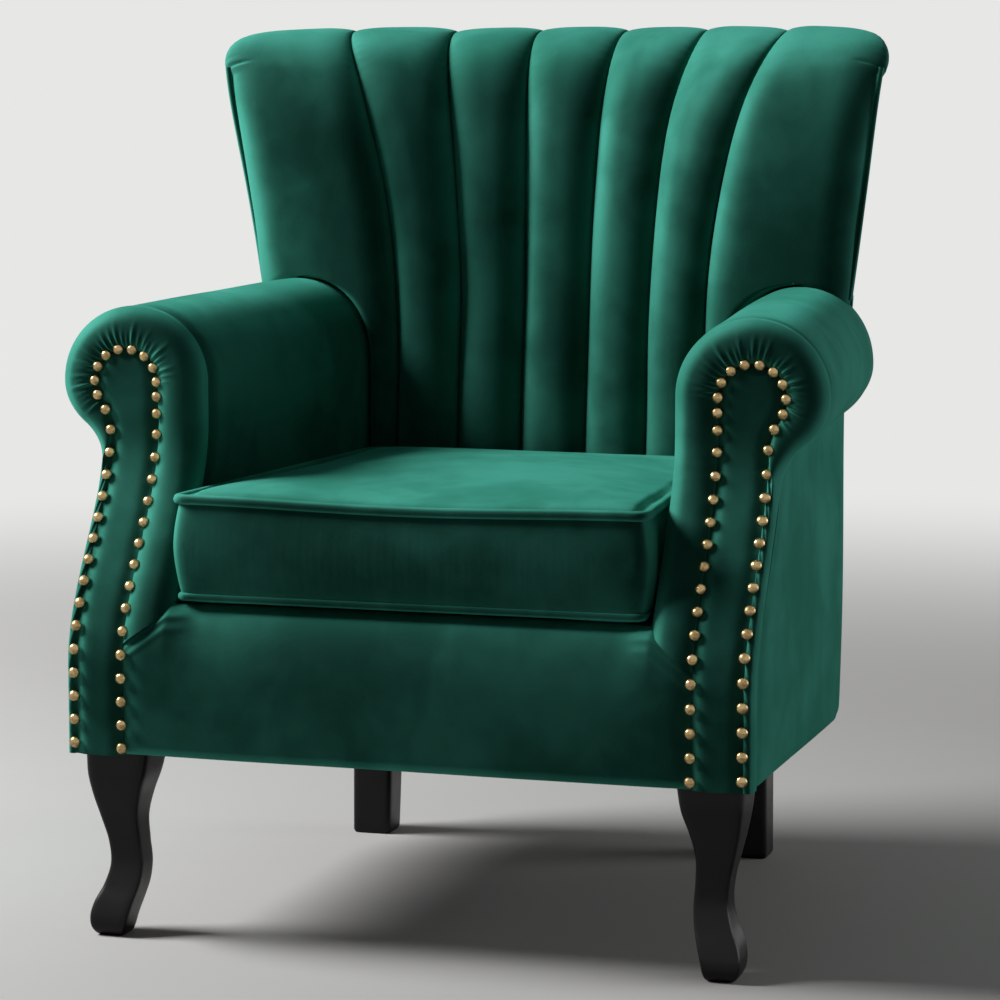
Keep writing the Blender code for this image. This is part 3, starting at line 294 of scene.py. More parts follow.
class Shade:
    def __init__(self, tree, socket):
        self.tree, self.socket = tree, socket

    def make(self, kind, values=None, output=0, **settings):
        node = self.tree.nodes.new(kind)
        for name, value in settings.items():
            setattr(node, name, value)
        for name, value in (values or {}).items():
            if isinstance(value, Shade):
                self.tree.links.new(value.socket, node.inputs[name])
            else:
                node.inputs[name].default_value = value
        return Shade(self.tree, node.outputs[output])

    def math(self, operation, a, b):
        return self.make("ShaderNodeMath", {0: a, 1: b}, operation=operation)

    def __add__(self, other):
        return self.math("ADD", self, other)

    def __rsub__(self, other):
        return self.math("SUBTRACT", other, self)

    def __mul__(self, other):
        return self.math("MULTIPLY", self, other)

    __radd__, __rmul__ = __add__, __mul__

    def noise(self, scale, detail=2.0, roughness=0.5, distortion=0.0):
        return self.make("ShaderNodeTexNoise", {"Vector": self, "Scale": scale, "Detail": detail,
                                                "Roughness": roughness, "Distortion": distortion})

    def stretch(self, scale):
        return self.make("ShaderNodeMapping", {"Vector": self, "Scale": scale})

    def between(self, low, high):
        return self.make("ShaderNodeMapRange", {"Value": self, "From Min": low, "From Max": high},
                         interpolation_type="SMOOTHSTEP")

    def mixColor(self, first, second):
        node = self.tree.nodes.new("ShaderNodeMix")
        node.data_type = "RGBA"
        self.tree.links.new(self.socket, node.inputs[0])
        for socket, value in ((node.inputs[6], first), (node.inputs[7], second)):
            if isinstance(value, Shade):
                self.tree.links.new(value.socket, socket)
            else:
                socket.default_value = (*value, 1.0)
        return Shade(self.tree, node.outputs[2])

    def bump(self, distance, strength=1.0, normal=None):
        values = {"Height": self, "Distance": distance, "Strength": strength}
        if normal is not None:
            values["Normal"] = normal
        return self.make("ShaderNodeBump", values)


def finish(name, fixed, build):
    material = bpy.data.materials.new(name)
    material.use_nodes = True
    tree = material.node_tree
    shader = tree.nodes["Principled BSDF"]
    for socket, value in fixed.items():
        shader.inputs[socket].default_value = value
    place = Shade(tree, tree.nodes.new("ShaderNodeTexCoord").outputs["Object"])
    for socket, value in build(place).items():
        tree.links.new(value.socket, shader.inputs[socket])
    return material


velvetLook = {
    "deep": (0.008, 0.053, 0.038), "clear": (0.022, 0.126, 0.093),  # looking into the pile
    "paintedSheenDeep": (0.030, 0.208, 0.150), "paintedSheenClear": (0.062, 0.344, 0.264),  # painted sheen: lighter colours mixed in where the surface is seen at a slant
    "sheen": 0.25, "sheenRoughness": 0.46, "sheenTint": (0.14, 0.90, 0.70, 1.0),
}


def velvetNodes(place):
    cloud = place.noise(7.0, 3.0, 0.55).between(0.30, 0.72)  # where the pile lies another way
    stroke = place.stretch((1.0, 1.0, 0.75)).noise(24.0, 4.0, 0.6, 0.5)  # hand marks in the pile
    pile = place.noise(1500.0, 2.0, 0.65)
    tone = cloud * 0.38 + stroke * 0.37 + pile * 0.25
    low = stroke.bump(0.0016, 0.30)
    nap = tone.between(0.26, 0.74)
    # painted shade share, stored per point on the covers
    flat = place.make("ShaderNodeAttribute", output="Fac", attribute_name="paintedShade")
    # painted sheen: the base colour turns towards the lighter slanting colours as the surface turns from the camera,
    # held back where painted shade is set
    facing = place.make("ShaderNodeLayerWeight", {"Blend": 0.5}, output="Facing")
    along = facing.between(0.02, 0.44) * (1.0 - flat)
    into = nap.mixColor(velvetLook["deep"], velvetLook["clear"])
    return {
        "Base Color": along.mixColor(into, nap.mixColor(velvetLook["paintedSheenDeep"], velvetLook["paintedSheenClear"])),
        "Roughness": 0.62 + 0.25 * pile,
        "Normal": pile.bump(0.0005, 0.5, low),
    }


def lacquerNodes(place):
    grain = place.stretch((1.0, 1.0, 0.08)).noise(210.0, 4.0, 0.6)
    haze = place.noise(22.0, 4.0, 0.6).between(0.35, 0.75)
    speck = place.noise(900.0, 1.0, 0.5).between(0.68, 0.80)
    return {
        "Base Color": haze.mixColor((0.0022, 0.0022, 0.0024), (0.0042, 0.0040, 0.0040)),
        "Roughness": 0.30 + 0.12 * haze + 0.10 * speck,
        "Normal": grain.bump(0.0003, 0.35),
    }


def brassNodes(place):
    patch = place.noise(160.0, 3.0, 0.6).between(0.35, 0.70)
    fine = place.noise(1100.0, 2.0, 0.6)
    return {
        "Base Color": patch.mixColor((0.52, 0.38, 0.19), (0.25, 0.17, 0.075)),
        "Roughness": 0.20 + 0.20 * patch,
        "Normal": fine.bump(0.00025, 0.5),
    }


def beechNodes(place):
    ring = place.stretch((1.0, 0.12, 1.0)).noise(95.0, 4.0, 0.6, 0.6)
    fleck = place.stretch((1.0, 0.2, 1.0)).noise(800.0, 2.0, 0.5).between(0.55, 0.75)
    return {
        "Base Color": ring.between(0.3, 0.7).mixColor((0.50, 0.34, 0.19), (0.36, 0.22, 0.11)),
        "Roughness": 0.55 + 0.2 * fleck,
        "Normal": ring.bump(0.0006, 0.4),
    }


def steelNodes(place):
    bloom = place.noise(260.0, 3.0, 0.6)
    return {
        "Base Color": bloom.between(0.3, 0.7).mixColor((0.52, 0.52, 0.53), (0.36, 0.36, 0.37)),
        "Roughness": 0.28 + 0.25 * bloom,
        "Normal": bloom.bump(0.0002, 0.3),
    }


def dustClothNodes(place):
    fibre = place.stretch((1.0, 0.25, 1.0)).noise(1400.0, 3.0, 0.7)
    felt = place.noise(240.0, 3.0, 0.6)
    return {
        "Base Color": felt.between(0.3, 0.7).mixColor((0.010, 0.010, 0.011), (0.022, 0.022, 0.023)),
        "Roughness": 0.80 + 0.15 * fibre,
        "Normal": fibre.bump(0.0004, 0.5),
    }


velvet = finish("green_velvet_pile", {
    "Specular IOR Level": 0.03, "Sheen Weight": velvetLook["sheen"],
    "Sheen Roughness": velvetLook["sheenRoughness"], "Sheen Tint": velvetLook["sheenTint"],
}, velvetNodes)
lacquer = finish("black_lacquer_satin", {"Specular IOR Level": 0.22}, lacquerNodes)
brass = finish("antique_brass_heads", {"Metallic": 1.0}, brassNodes)
beech = finish("beech_planed", {}, beechNodes)
steel = finish("zinc_steel_wire", {"Metallic": 1.0}, steelNodes)
dustCloth = finish("dust_cloth_black", {"Sheen Weight": 0.2, "Sheen Roughness": 0.5}, dustClothNodes)
print("materials ready")

# back: seven channels that fan out and roll over the crest

# flat, with its top and fade, sets painted shade low on the back
channelSpec = {"face": 31, "rows": 176, "straight": 0.60, "crest": 0.90, "gap": 0.0007, "thick": 0.030,
               "edgeThick": 0.010, "bulge": 0.023, "wingBulge": 0.027, "crestBulge": 0.24, "wallRound": 0.012,
               "flank": 0.036, "flankShare": 0.86, "middleShare": 0.14, "pucker": 0.0002, "puckerRate": 330.0,
               "dart": 0.737, "dartDepth": 0.0016, "dartWidth": 0.0030, "dartLength": 0.028,
               "settle": 0.007, "fitHeight": 0.07, "flat": 0.6, "shadeTop": 0.72, "shadeFade": 0.22}


def seamLine(seam, side):  # seam points, pad inner points and crest angle, from the deck over the crest
    spec = channelSpec
    v = np.linspace(0.0, 1.0, 361)
    low, top = spec["straight"], spec["crest"]
    angle = np.where(v < top, 90.0 * clamp((v - low) / (top - low)),
                     90.0 + 90.0 * (v - top) / (1.0 - top))
    z = lerp(chair["deckTop"] + 0.0005, chair["crestStart"], clamp(v / low))
    p = np.where((v < low)[:, None], stack(seamX(seam, z), seamY(seam, z), z), crestPoint(seam, angle))
    a = np.radians(angle)
    depth = lerp(spec["thick"], spec["edgeThick"], ease((angle - 60.0) / 120.0))
    q = p + stack(0.0 * a, np.cos(a), -np.sin(a)) * depth[:, None]
    q[:, 0] = np.minimum(p[:, 0], seamX(seam, q[:, 2]))
    if seam == wing:  # the lining stays inside the wing's slanting side
        rear = outsideColumn(wing, np.minimum(q[:, 2], chair["crestRear"]))
        line = seamY(wing, q[:, 2])
        share = clamp((q[:, 1] - line) / (rear[:, 1] - line))
        q[:, 0] = np.minimum(q[:, 0], lerp(seamX(wing, q[:, 2]), rear[:, 0], share) - 0.001)
        p[:, 0] += cornerWrap(p[:, 2]) * ease((172.0 - angle) / 50.0)
    mirror = np.array([side, 1.0, 1.0])
    return v, angle, p * mirror, q * mirror


def cornerWrap(z):  # above its dart the cover is drawn round the wing's corner, over the boxing
    span = chair["wrapHigh"] - chair["wrapLow"]
    return chair["cornerWrap"] * ease((z - chair["wrapLow"]) / span)


def armWallX(y, z):  # inner face of the arm that a wing channel has to stay off
    inner, radius = armInnerX(y) - 0.0015, chair["rollRadius"] + 0.001
    tall = radius + chair["rearRise"]
    up = clamp((z - chair["rollZ"]) / tall)
    wall = inner + radius - radius * np.sqrt(1.0 - up ** 2)
    over = ease((z - chair["rollZ"] - tall) / 0.012)
    return lerp(wall, 0.40, over)


def channelShape(near, far, bulge):
    spec = channelSpec
    v, angle, a, aIn = seamLine(near[1], near[0])
    _, _, b, bIn = seamLine(far[1], far[0])
    isWing = far[1] == wing
    gap = spec["gap"]
    for line in (a, aIn):
        line[:, 0] += gap
    if not isWing:
        for line in (b, bIn):
            line[:, 0] -= gap
    front = 0.5 - 0.5 * np.cos(np.linspace(0.0, math.pi, spec["face"]))
    across = np.r_[front, [1.0] * 3, 0.66, 0.33, [0.0] * 5]
    depth = np.r_[0.0 * front, 0.2, 0.55, [1.0] * 4, 0.75, 0.5, 0.2, 0.0]
    stops = np.linspace(0.0, 1.0, len(across))

    def shape(u, w):
        t, back = np.interp(u, stops, across), np.interp(u, stops, depth)
        dart = spec["dart"]
        if isWing:  # closer rows at the dart
            w = np.interp(w, [0.0, dart - 0.045, dart + 0.055, 1.0], [0.0, dart - 0.022, dart + 0.022, 1.0])
        line = [sample(w, v, row) for row in (a, b, aIn, bIn)]
        turn = np.radians(np.interp(w, v, angle))
        width = np.linalg.norm(line[1] - line[0], axis=1)
        side = (line[1] - line[0]) / width[:, None]
        out = stack(side[:, 1] * np.cos(turn), -side[:, 0] * np.cos(turn), np.sin(turn))
        most = np.ones_like(t)
        if isWing:
            wall = armWallX(line[0][:, 1], line[0][:, 2])
            most = np.clip((wall - line[0][:, 0]) / (line[1][:, 0] - line[0][:, 0]), 0.05, 1.0)
            t = t * most
        edge = np.minimum(t, 1.0 - t) * width
        flank = clamp(1.0 - edge / np.minimum(spec["flank"], 0.48 * width))
        crown = spec["flankShare"] * np.sqrt(1.0 - flank ** 2) + spec["middleShare"] * arch(t)
        rise = bulge * lerp(1.0, spec["crestBulge"], ease(np.degrees(turn) / 90.0)) * crown
        toWall = clamp((most - t) * width / spec["wallRound"])
        rounded = spec["wallRound"] * (1.0 - np.sqrt(1.0 - (1.0 - toWall) ** 2))
        rise = np.where(most < 0.999, rise - rounded, rise)
        pucker = bell(edge / 0.010) * ease((np.degrees(turn) - 8.0) / 25.0) * np.sin(w * spec["puckerRate"])
        rise = rise + spec["pucker"] * pucker
        if isWing:
            inFromEdge = (1.0 - t) * width
            rise -= spec["dartDepth"] * bell((w - dart) / spec["dartWidth"]) * ease(
                (spec["dartLength"] - inFromEdge) / 0.010)
        skin = line[0] + side * (t * width)[:, None] + out * rise[:, None]
        lining = line[2] + (line[3] - line[2]) * t[:, None]
        place = skin + (lining - skin) * back[:, None]
        if isWing:  # the lower edge follows the round of the arm roll
            radius = chair["rollRadius"] - 0.0008
            tall = radius + chair["rearRise"]
            beyond = np.clip((place[:, 0] - rollOuterX(place[:, 1])) / radius, 0.0, 0.95)
            drop = tall - tall * np.sqrt(1.0 - beyond ** 2) + spec["settle"] * ease(beyond / 0.5)
            high = place[:, 2] - chair["rollZ"] - tall
            place[:, 2] -= drop * ease(1.0 - high / spec["fitHeight"]) * (high > -0.001)
        return place

    return shape, len(across) - 1


def makeChannel(number):
    rank = abs(number - 4)
    near = (-1.0, 0) if rank == 0 else (1.0, rank - 1)
    bulge = channelSpec["wingBulge"] if rank == wing else channelSpec["bulge"]
    shape, columns = channelShape(near, (1.0, rank), bulge)
    flip = -1.0 if number < 4 else 1.0
    name = f"channelPad{number}"
    obj = sheetOf(name, columns, channelSpec["rows"], lambda u, v: shape(u, v) * np.array([flip, 1.0, 1.0]))
    closeUp(obj)
    roughUp(obj, 0.0007, 34.0, 40 + number)
    roughUp(obj, 0.0009, 13.0, 60 + number)
    low = ease((channelSpec["shadeTop"] - points(obj)[:, 2]) / channelSpec["shadeFade"])  # painted shade low on the back, between the arms
    paintShade(obj, channelSpec["flat"] * low)
    dress(obj, velvet, "chair_frame", f"back_channel_{number}")
    return obj


for number in range(1, 8):
    makeChannel(number)
print("back channels ready")

# outside back and wing boxing

panelSpec = {"thick": 0.005, "puff": 0.004, "wingThick": 0.0035, "wingPuff": 0.002, "wingWall": 0.003,
             "rollFall": 0.013,  # how far the roll has fallen away under the wing edge
             "weltRadius": 0.0032, "weltOffset": (0.0016, -0.0030, 0.0), "weltFoot": 0.016,
             "armRear": 0.0052, "armPuff": 0.0015, "armHem": 0.003, "armSeam": 0.0025}


def outsideBackShape(u, v):
    z = lerp(chair["legTop"], chair["crestRear"] - 0.001, v)
    columns = np.stack([outsideColumn(seam, z) for seam in range(4)], axis=1)
    xs = np.concatenate([-columns[:, ::-1, 0], columns[:, :, 0]], axis=1)
    ys = np.concatenate([columns[:, ::-1, 1], columns[:, :, 1]], axis=1)
    x = (2.0 * u - 1.0) * xs[:, -1]
    slopes = np.gradient(ys, axis=1) / np.gradient(xs, axis=1)
    slopes[:, 3:5] *= 0.3
    y = np.empty_like(x)
    for k in range(xs.shape[1] - 1):  # smooth line through the columns
        width = xs[:, k + 1] - xs[:, k]
        t = (x - xs[:, k]) / width
        here = (t >= -1e-6) & (t <= 1.0 + 1e-6)
        y = np.where(here, hermite(ys[:, k], ys[:, k + 1], slopes[:, k], slopes[:, k + 1], width, t), y)
    puff = panelSpec["puff"] * (arch(u) * arch(clamp(v))) ** 0.5
    return stack(x, y + puff, z)


def panelOf(name, columns, rows, shape, wall, waves, node):
    obj = thicken(sheetOf(name, columns, rows, shape), wall)
    roughUp(obj, *waves)
    return dress(obj, velvet, "chair_frame", node)


panelOf("outsideBackPanel", 120, 120, outsideBackShape, panelSpec["thick"], (0.0008, 16.0, 11), "outside_back")


def wingRows():  # front edge and rear edge of the boxing, from the arm up to the crest
    top = chair["rollZ"] + chair["rollRadius"] + chair["rearRise"] - panelSpec["rollFall"]
    low = float(neck(np.array([chair["armEndY"]]))[1][0])
    z = np.r_[np.linspace(low, top, 12), np.linspace(top + 0.002, chair["crestStart"], 24)]
    front = np.where((z <= top)[:, None],
                     stack(sideX(np.full_like(z, chair["armEndY"]), z), chair["armEndY"], z),
                     stack(seamX(wing, z), seamY(wing, z), z))
    front = np.r_[front, crestPoint(wing, np.linspace(4.0, 158.0, 40))]
    rear = outsideColumn(wing, np.minimum(front[:, 2], chair["crestRear"] - 0.001))
    return front, rear


def wingShape(side):
    front, rear = wingRows()
    stops = np.linspace(0.0, 1.0, len(front))

    def shape(u, v):
        p = lerp(sample(v, stops, front), sample(v, stops, rear), u[:, None])
        p[:, 0] += panelSpec["wingThick"] + panelSpec["wingPuff"] * arch(u) ** 0.7
        return p * np.array([side, 1.0, 1.0])

    return shape


for word, side in bothSides:
    panelOf(f"{word}WingBoxing", 40, 120, wingShape(side), panelSpec["wingWall"],
            (0.0006, 22.0, 21 + (side > 0)), f"{word}_outside_wing")
    front, _ = wingRows()
    line = front[14:][front[14:, 2] < chair["wrapHigh"]][::2] + np.array(panelSpec["weltOffset"])
    step = line[1] - line[0]
    foot = line[0] - step * panelSpec["weltFoot"] / np.linalg.norm(step)  # down into the roll
    line = np.r_[[foot], line]
    welt = cordAlong(f"{word}WingWelt", line * np.array([side, 1.0, 1.0]), panelSpec["weltRadius"])
    dress(welt, velvet, "chair_frame")
print("outside back ready")

# arms: one cover from the seat up over the roll

# flat, with its edge and fade, sets painted shade on the arm's inner face
coverSpec = {"columns": 150, "rows": 96, "pad": 0.030, "groove": 0.0078, "grooveWidth": 0.0070,
             "turns": (0.30, 0.46, 0.50, 0.82),  # inside wall, up the roll, over its top, down to the neck
             "endRound": 0.0018, "endDepth": 0.008, "puff": 0.0025, "flat": 0.85, "shadeEdge": 0.022, "shadeFade": 0.016}


def armCoverShape(side):
    spec = coverSpec

    def shape(u, v):
        rollZ, radius = chair["rollZ"], chair["rollRadius"]
        wallEnd, upEnd, topEnd, downEnd = spec["turns"]
        stages = [u < wallEnd, u < upEnd, u < topEnd, u < downEnd]
        inside = clamp(u / wallEnd)
        z = lerp(chair["railTop"] + 0.0005, rollZ, inside)
        along = lerp(v ** 1.6, v, 0.3)
        start = behindBand(z)
        y = lerp(start, chair["armEndY"], along)
        inner, outer = armInnerX(y), rollOuterX(y)
        neckX, neckZ, neckAngle = neck(y)
        end = ease((y - chair["armEndY"]) / spec["endDepth"] + 1.0) * spec["endRound"]
        dip = spec["groove"] * bell((y - start) / spec["grooveWidth"])
        r, lift = radius - dip - end, rollLift(y)
        up = math.pi - 0.5 * math.pi * clamp((u - wallEnd) / (upEnd - wallEnd))
        down = lerp(0.5 * math.pi, neckAngle, clamp((u - topEnd) / (downEnd - topEnd)))
        puff = spec["puff"] * ease((z - 0.455) / 0.05) * arch(clamp(along)) * stages[0]
        x = np.select(stages, [
            inner + dip - puff, inner + radius + r * np.cos(up),
            lerp(inner + radius, outer, (u - upEnd) / (topEnd - upEnd)), outer + r * np.cos(down)], 0.0)
        z = np.select(stages, [
            z, rollZ + (r + lift) * np.sin(up), rollZ + r + lift,
            underRoll(rollZ + (r + lift * (down > 0.0)) * np.sin(down))], 0.0)
        back = clamp((u - downEnd) / (1.0 - downEnd))  # hidden return inside the arm
        stops = [0.0, 0.2, 0.5, 0.75, 1.0]
        xs = [neckX, neckX - 0.012, inner + 0.045, inner + spec["pad"], inner]
        zs = [neckZ, neckZ + 0.004, np.full_like(y, 0.497), np.full_like(y, 0.480),
              np.full_like(y, chair["railTop"] + 0.0005)]
        for k in range(4):
            here = (u >= downEnd) & (back >= stops[k]) & (back <= stops[k + 1])
            t = (back - stops[k]) / (stops[k + 1] - stops[k])
            x = np.where(here, lerp(xs[k], xs[k + 1], t), x)
            z = np.where(here, lerp(zs[k], zs[k + 1], t), z)
        late = u > 0.95  # foot of the return keeps to the swept front
        y = np.where(late, lerp(behindBand(z), chair["armEndY"], along), y)
        return stack(x * side, y, z)

    return shape


for word, side in bothSides:
    cover = closeUp(sheetOf(f"{word}ArmCover", coverSpec["columns"], coverSpec["rows"], armCoverShape(side)))
    roughUp(cover, 0.0008, 20.0, 31 + (side > 0))
    place = points(cover)
    # painted shade on the inner face of the arm
    inward = armInnerX(place[:, 1]) + coverSpec["shadeEdge"] - abs(place[:, 0])
    paintShade(cover, coverSpec["flat"] * ease(inward / coverSpec["shadeFade"]))
    dress(cover, velvet, "chair_frame", f"{word}_arm_roll", f"{word}_inside_arm")


def outsideArmShape(side):
    def shape(u, v):
        nearZ = lerp(chair["legTop"], chair["rollFoot"], v)
        rear = outsideColumn(wing, nearZ)[:, 1] - panelSpec["armRear"]
        y = lerp(behindBand(nearZ), rear, u)
        top = neck(np.minimum(y, chair["armEndY"]))[1] + 0.002
        z = lerp(chair["legTop"], top, v)
        hem = panelSpec["armHem"] * bell((z - chair["legTop"]) / 0.006) + panelSpec["armSeam"] * bell(u / 0.012)
        puff = panelSpec["armPuff"] * arch(u) * arch(v)
        return stack((sideX(y, z) - hem + puff) * side, y, z)

    return shape


for word, side in bothSides:
    panelOf(f"{word}OutsideArm", 130, 84, outsideArmShape(side), panelSpec["thick"],
            (0.0007, 18.0, 33 + (side > 0)), f"{word}_outside_arm")
print("arm covers ready")

# arm fronts: gathered band, facing and nails

frontSpec = {"nailHeadX": 0.317, "nailRadius": 0.033, "nailOuterX": 0.333, "nailFillet": 0.060, "armFillet": 0.080,
             "bulge": 0.0085, "rim": 0.014, "footRim": 0.005, "seam": 0.0025, "pull": 0.0046,
             "pleats": 30, "pleatHeight": 0.0024, "pleatFrom": 186.0, "pleatTo": -34.0,
             "turns": (0.06, 0.70, 0.90),  # under the nails, face, back along the roll
             "plump": 0.0042, "facingWall": 0.006, "dartX": (0.239, 0.284), "dartZ": (0.334, 0.301)}
nailSpec = {"radius": 0.0058, "height": 0.0044, "perSide": 21, "arch": 0.0146, "column": 0.0229, "inArch": 4,
            "segments": 14, "rings": 8, "lip": 0.16, "lipSize": 0.93, "lean": 0.06, "proud": 0.0012}
headStart, headEnd, hollowEnd = 0.20, 0.75, 0.82  # shares of the outline


def keyhole(u, headX, radius, outerX, fillet):  # arm front outline from inner foot over the head to outer foot
    rollZ = chair["rollZ"]
    reach = outerX + fillet - headX
    filletZ = rollZ - math.sqrt((radius + fillet) ** 2 - reach ** 2)
    turn = math.atan2(filletZ - rollZ, reach)
    head = lerp(math.pi, turn, clamp((u - headStart) / (headEnd - headStart)))
    hollow = lerp(math.pi + turn, math.pi, clamp((u - headEnd) / (hollowEnd - headEnd)))
    rise = lerp(chair["legTop"], rollZ, clamp(u / headStart))
    fall = lerp(filletZ, chair["legTop"], clamp((u - hollowEnd) / (1.0 - hollowEnd)))
    stages = [u < headStart, u < headEnd, u < hollowEnd]
    x = np.select(stages, [np.full_like(u, headX - radius), headX + radius * np.cos(head),
                           outerX + fillet + fillet * np.cos(hollow)], outerX)
    z = np.select(stages, [rise, rollZ + radius * np.sin(head), filletZ + fillet * np.sin(hollow)], fall)
    return x, z, head


def nailOutline(u, offset=0.0):
    return keyhole(u, frontSpec["nailHeadX"], frontSpec["nailRadius"] + offset, frontSpec["nailOuterX"] + offset,
                   frontSpec["nailFillet"] - offset)


def armOutline(u):
    x, z, head = keyhole(u, chair["rollX"], chair["rollRadius"], chair["sideX"], frontSpec["armFillet"])
    return x, np.where((u > headStart) & (u < hollowEnd), underRoll(z), z), head


def nailPull(z, away, height, width):  # small pulls in the cloth beside each nail of a straight run
    return height * np.cos(z * 2.0 * math.pi / nailSpec["column"]) * bell(away / width)


def dartZ(x):  # fold where the arm front runs into the seat front
    share = (np.abs(x) - frontSpec["dartX"][0]) / (frontSpec["dartX"][1] - frontSpec["dartX"][0])
    return lerp(*frontSpec["dartZ"], share)


def bandShape(side, seed):
    spec = frontSpec
    rng = np.random.default_rng(seed)
    count = spec["pleats"]
    angles = np.linspace(math.radians(spec["pleatFrom"]), math.radians(spec["pleatTo"]), count)
    angles = angles + rng.uniform(-0.024, 0.024, count)
    lengths, heights = rng.uniform(0.40, 0.92, count), rng.uniform(0.35, 1.0, count)
    nailEnd, faceEnd, rimEnd = spec["turns"]

    def shape(u, v):
        ix, iz, head = nailOutline(u, 0.0002)
        ox, oz, _ = armOutline(u)
        w = 0.5 - 0.5 * np.cos(math.pi * clamp((v - nailEnd) / (faceEnd - nailEnd)))
        column = u < headStart
        low = dartZ(lerp(ix, ox, w)) - 0.006
        iz = np.where(column, lerp(low, chair["rollZ"], u / headStart), iz)
        oz = np.where(column, iz, oz)
        width = np.hypot(ox - ix, np.where(column, 0.0, oz - iz))
        width = np.where(u > hollowEnd, chair["sideX"] - spec["nailOuterX"], width)
        full = clamp(width / 0.045)
        belly = arch(w ** 0.8) ** 0.8
        bend = 1.0 - np.sqrt(1.0 - clamp((w - 0.60) / 0.40) ** 2)
        rim = lerp(spec["footRim"], spec["rim"], full)
        depth = spec["seam"] - spec["bulge"] * full ** 0.8 * belly + rim * bend
        radius = lerp(spec["nailRadius"], chair["rollRadius"], w)
        folds = np.zeros_like(u)
        for angle, length, height in zip(angles, lengths, heights):
            spread = 0.0012 + 0.0022 * w
            fade = ease(1.0 - w / length) * ease(w / 0.05)
            folds += height * bell((head - angle) * radius / spread) * fade
        inHead = (u > headStart - 0.002) & (u < headEnd + 0.002)
        depth = depth - spec["pleatHeight"] * folds * inHead
        depth = depth + nailPull(iz, w * width, 0.0007, 0.006) * ~inHead
        z = lerp(iz, oz, w)
        y = frontY(z) + depth
        back = clamp((v - faceEnd) / (rimEnd - faceEnd))  # round the rim and back along the roll
        x = lerp(ix, ox, w)
        rimY = frontY(z) + spec["seam"] + rim
        deepY = frontY(z) + chair["bandDepth"]
        y = np.where(v > faceEnd, lerp(rimY, deepY, back), y)
        pull = spec["pull"] * bell((1.0 - back) / 0.24) * (v > faceEnd)
        x = x - pull * (ox - ix) / np.maximum(width, 1e-4)
        z = z - pull * np.where(column, 0.0, oz - iz) / np.maximum(width, 1e-4)
        close = clamp((v - rimEnd) / (1.0 - rimEnd))  # hidden back face
        x = np.where(v > rimEnd, lerp(x, ix, close), x)
        z = np.where(v > rimEnd, lerp(z, iz, close), z)
        y = np.where(v > rimEnd, frontY(z) + chair["bandDepth"], y)
        entry = clamp((nailEnd - v) / nailEnd)  # hidden edge under the nails
        y = np.where(v < nailEnd, lerp(y, frontY(z) + chair["bandDepth"], entry), y)
        return stack(x * side, y, z)

    return shape


def facingEdges():
    u = np.linspace(0.0, 1.0, 1601)
    x, z, _ = nailOutline(u, -0.0002)
    crown = int(np.argmax(z))
    return (z[:crown + 1], x[:crown + 1]), (z[crown:][::-1], x[crown:][::-1])


def facingShape(side):
    (innerZ, innerX), (outerZ, outerX) = facingEdges()

    def shape(u, v):
        top = innerZ[-1]
        z = lerp(chair["legTop"], top - 0.0001, np.sin(0.5 * math.pi * v) ** 0.8)
        left, right = np.interp(z, innerZ, innerX), np.interp(z, outerZ, outerX)
        x = lerp(left, right, u)
        edge = np.minimum(np.minimum(x - left, right - x), top - z)
        plump = frontSpec["plump"] * (1.0 - bell(np.maximum(edge, 0.0) / 0.008))
        return stack(x * side, frontY(z) + frontSpec["seam"] - plump + nailPull(z, edge, 0.0006, 0.005), z)

    return shape


for word, side in bothSides:
    band = closeUp(sheetOf(f"{word}ArmBand", 420, 54, bandShape(side, 5 + (side > 0))))
    dress(band, velvet, "chair_frame", f"{word}_arm_band")
    facing = thicken(sheetOf(f"{word}ArmFacing", 36, 170, facingShape(side)), frontSpec["facingWall"])
    dress(facing, velvet, "chair_frame", f"{word}_arm_facing")


def nailPlaces():  # from the top of the arch down each side
    u = np.linspace(0.0, 1.0, 4001)
    x, z, _ = nailOutline(u)
    line = stack(x, frontY(z), z)
    crown = int(np.argmax(z))
    places = []
    for half in (line[crown::-1], line[crown:]):
        length = runLength(half)
        distance = nailSpec["arch"] / 2.0
        for k in range(nailSpec["perSide"]):
            place = sample(distance, length, half)
            if distance > length[-1] or place[2] < chair["legTop"] + nailSpec["radius"]:
                break
            places.append(place)
            distance += lerp(nailSpec["arch"], nailSpec["column"], ease((k + 1 - nailSpec["inArch"]) / 3.0))
    return places


def oneNail():  # a domed head with a thin turned-in lip
    spec = nailSpec
    bpy.ops.object.select_all(action="DESELECT")
    bpy.ops.mesh.primitive_uv_sphere_add(segments=spec["segments"], ring_count=spec["rings"], radius=1.0)
    obj = bpy.context.object
    bpy.ops.object.mode_set(mode="EDIT")
    bpy.ops.mesh.bisect(plane_co=(0.0, 0.0, -0.001), plane_no=(0.0, 0.0, 1.0), clear_inner=True, use_fill=False)
    bpy.ops.mesh.select_all(action="DESELECT")
    bpy.ops.mesh.select_non_manifold()
    bpy.ops.mesh.extrude_edges_move(TRANSFORM_OT_translate={"value": (0.0, 0.0, -spec["lip"])})
    bpy.ops.transform.resize(value=(spec["lipSize"], spec["lipSize"], 1.0))
    bpy.ops.mesh.edge_face_add()
    bpy.ops.mesh.select_all(action="SELECT")
    bpy.ops.mesh.normals_make_consistent(inside=False)
    bpy.ops.object.mode_set(mode="OBJECT")
    shape = points(obj)
    setPoints(obj, shape * np.array([spec["radius"], spec["radius"], spec["height"]]))
    bpy.ops.object.shade_smooth_by_angle(angle=math.radians(50.0))
    return obj


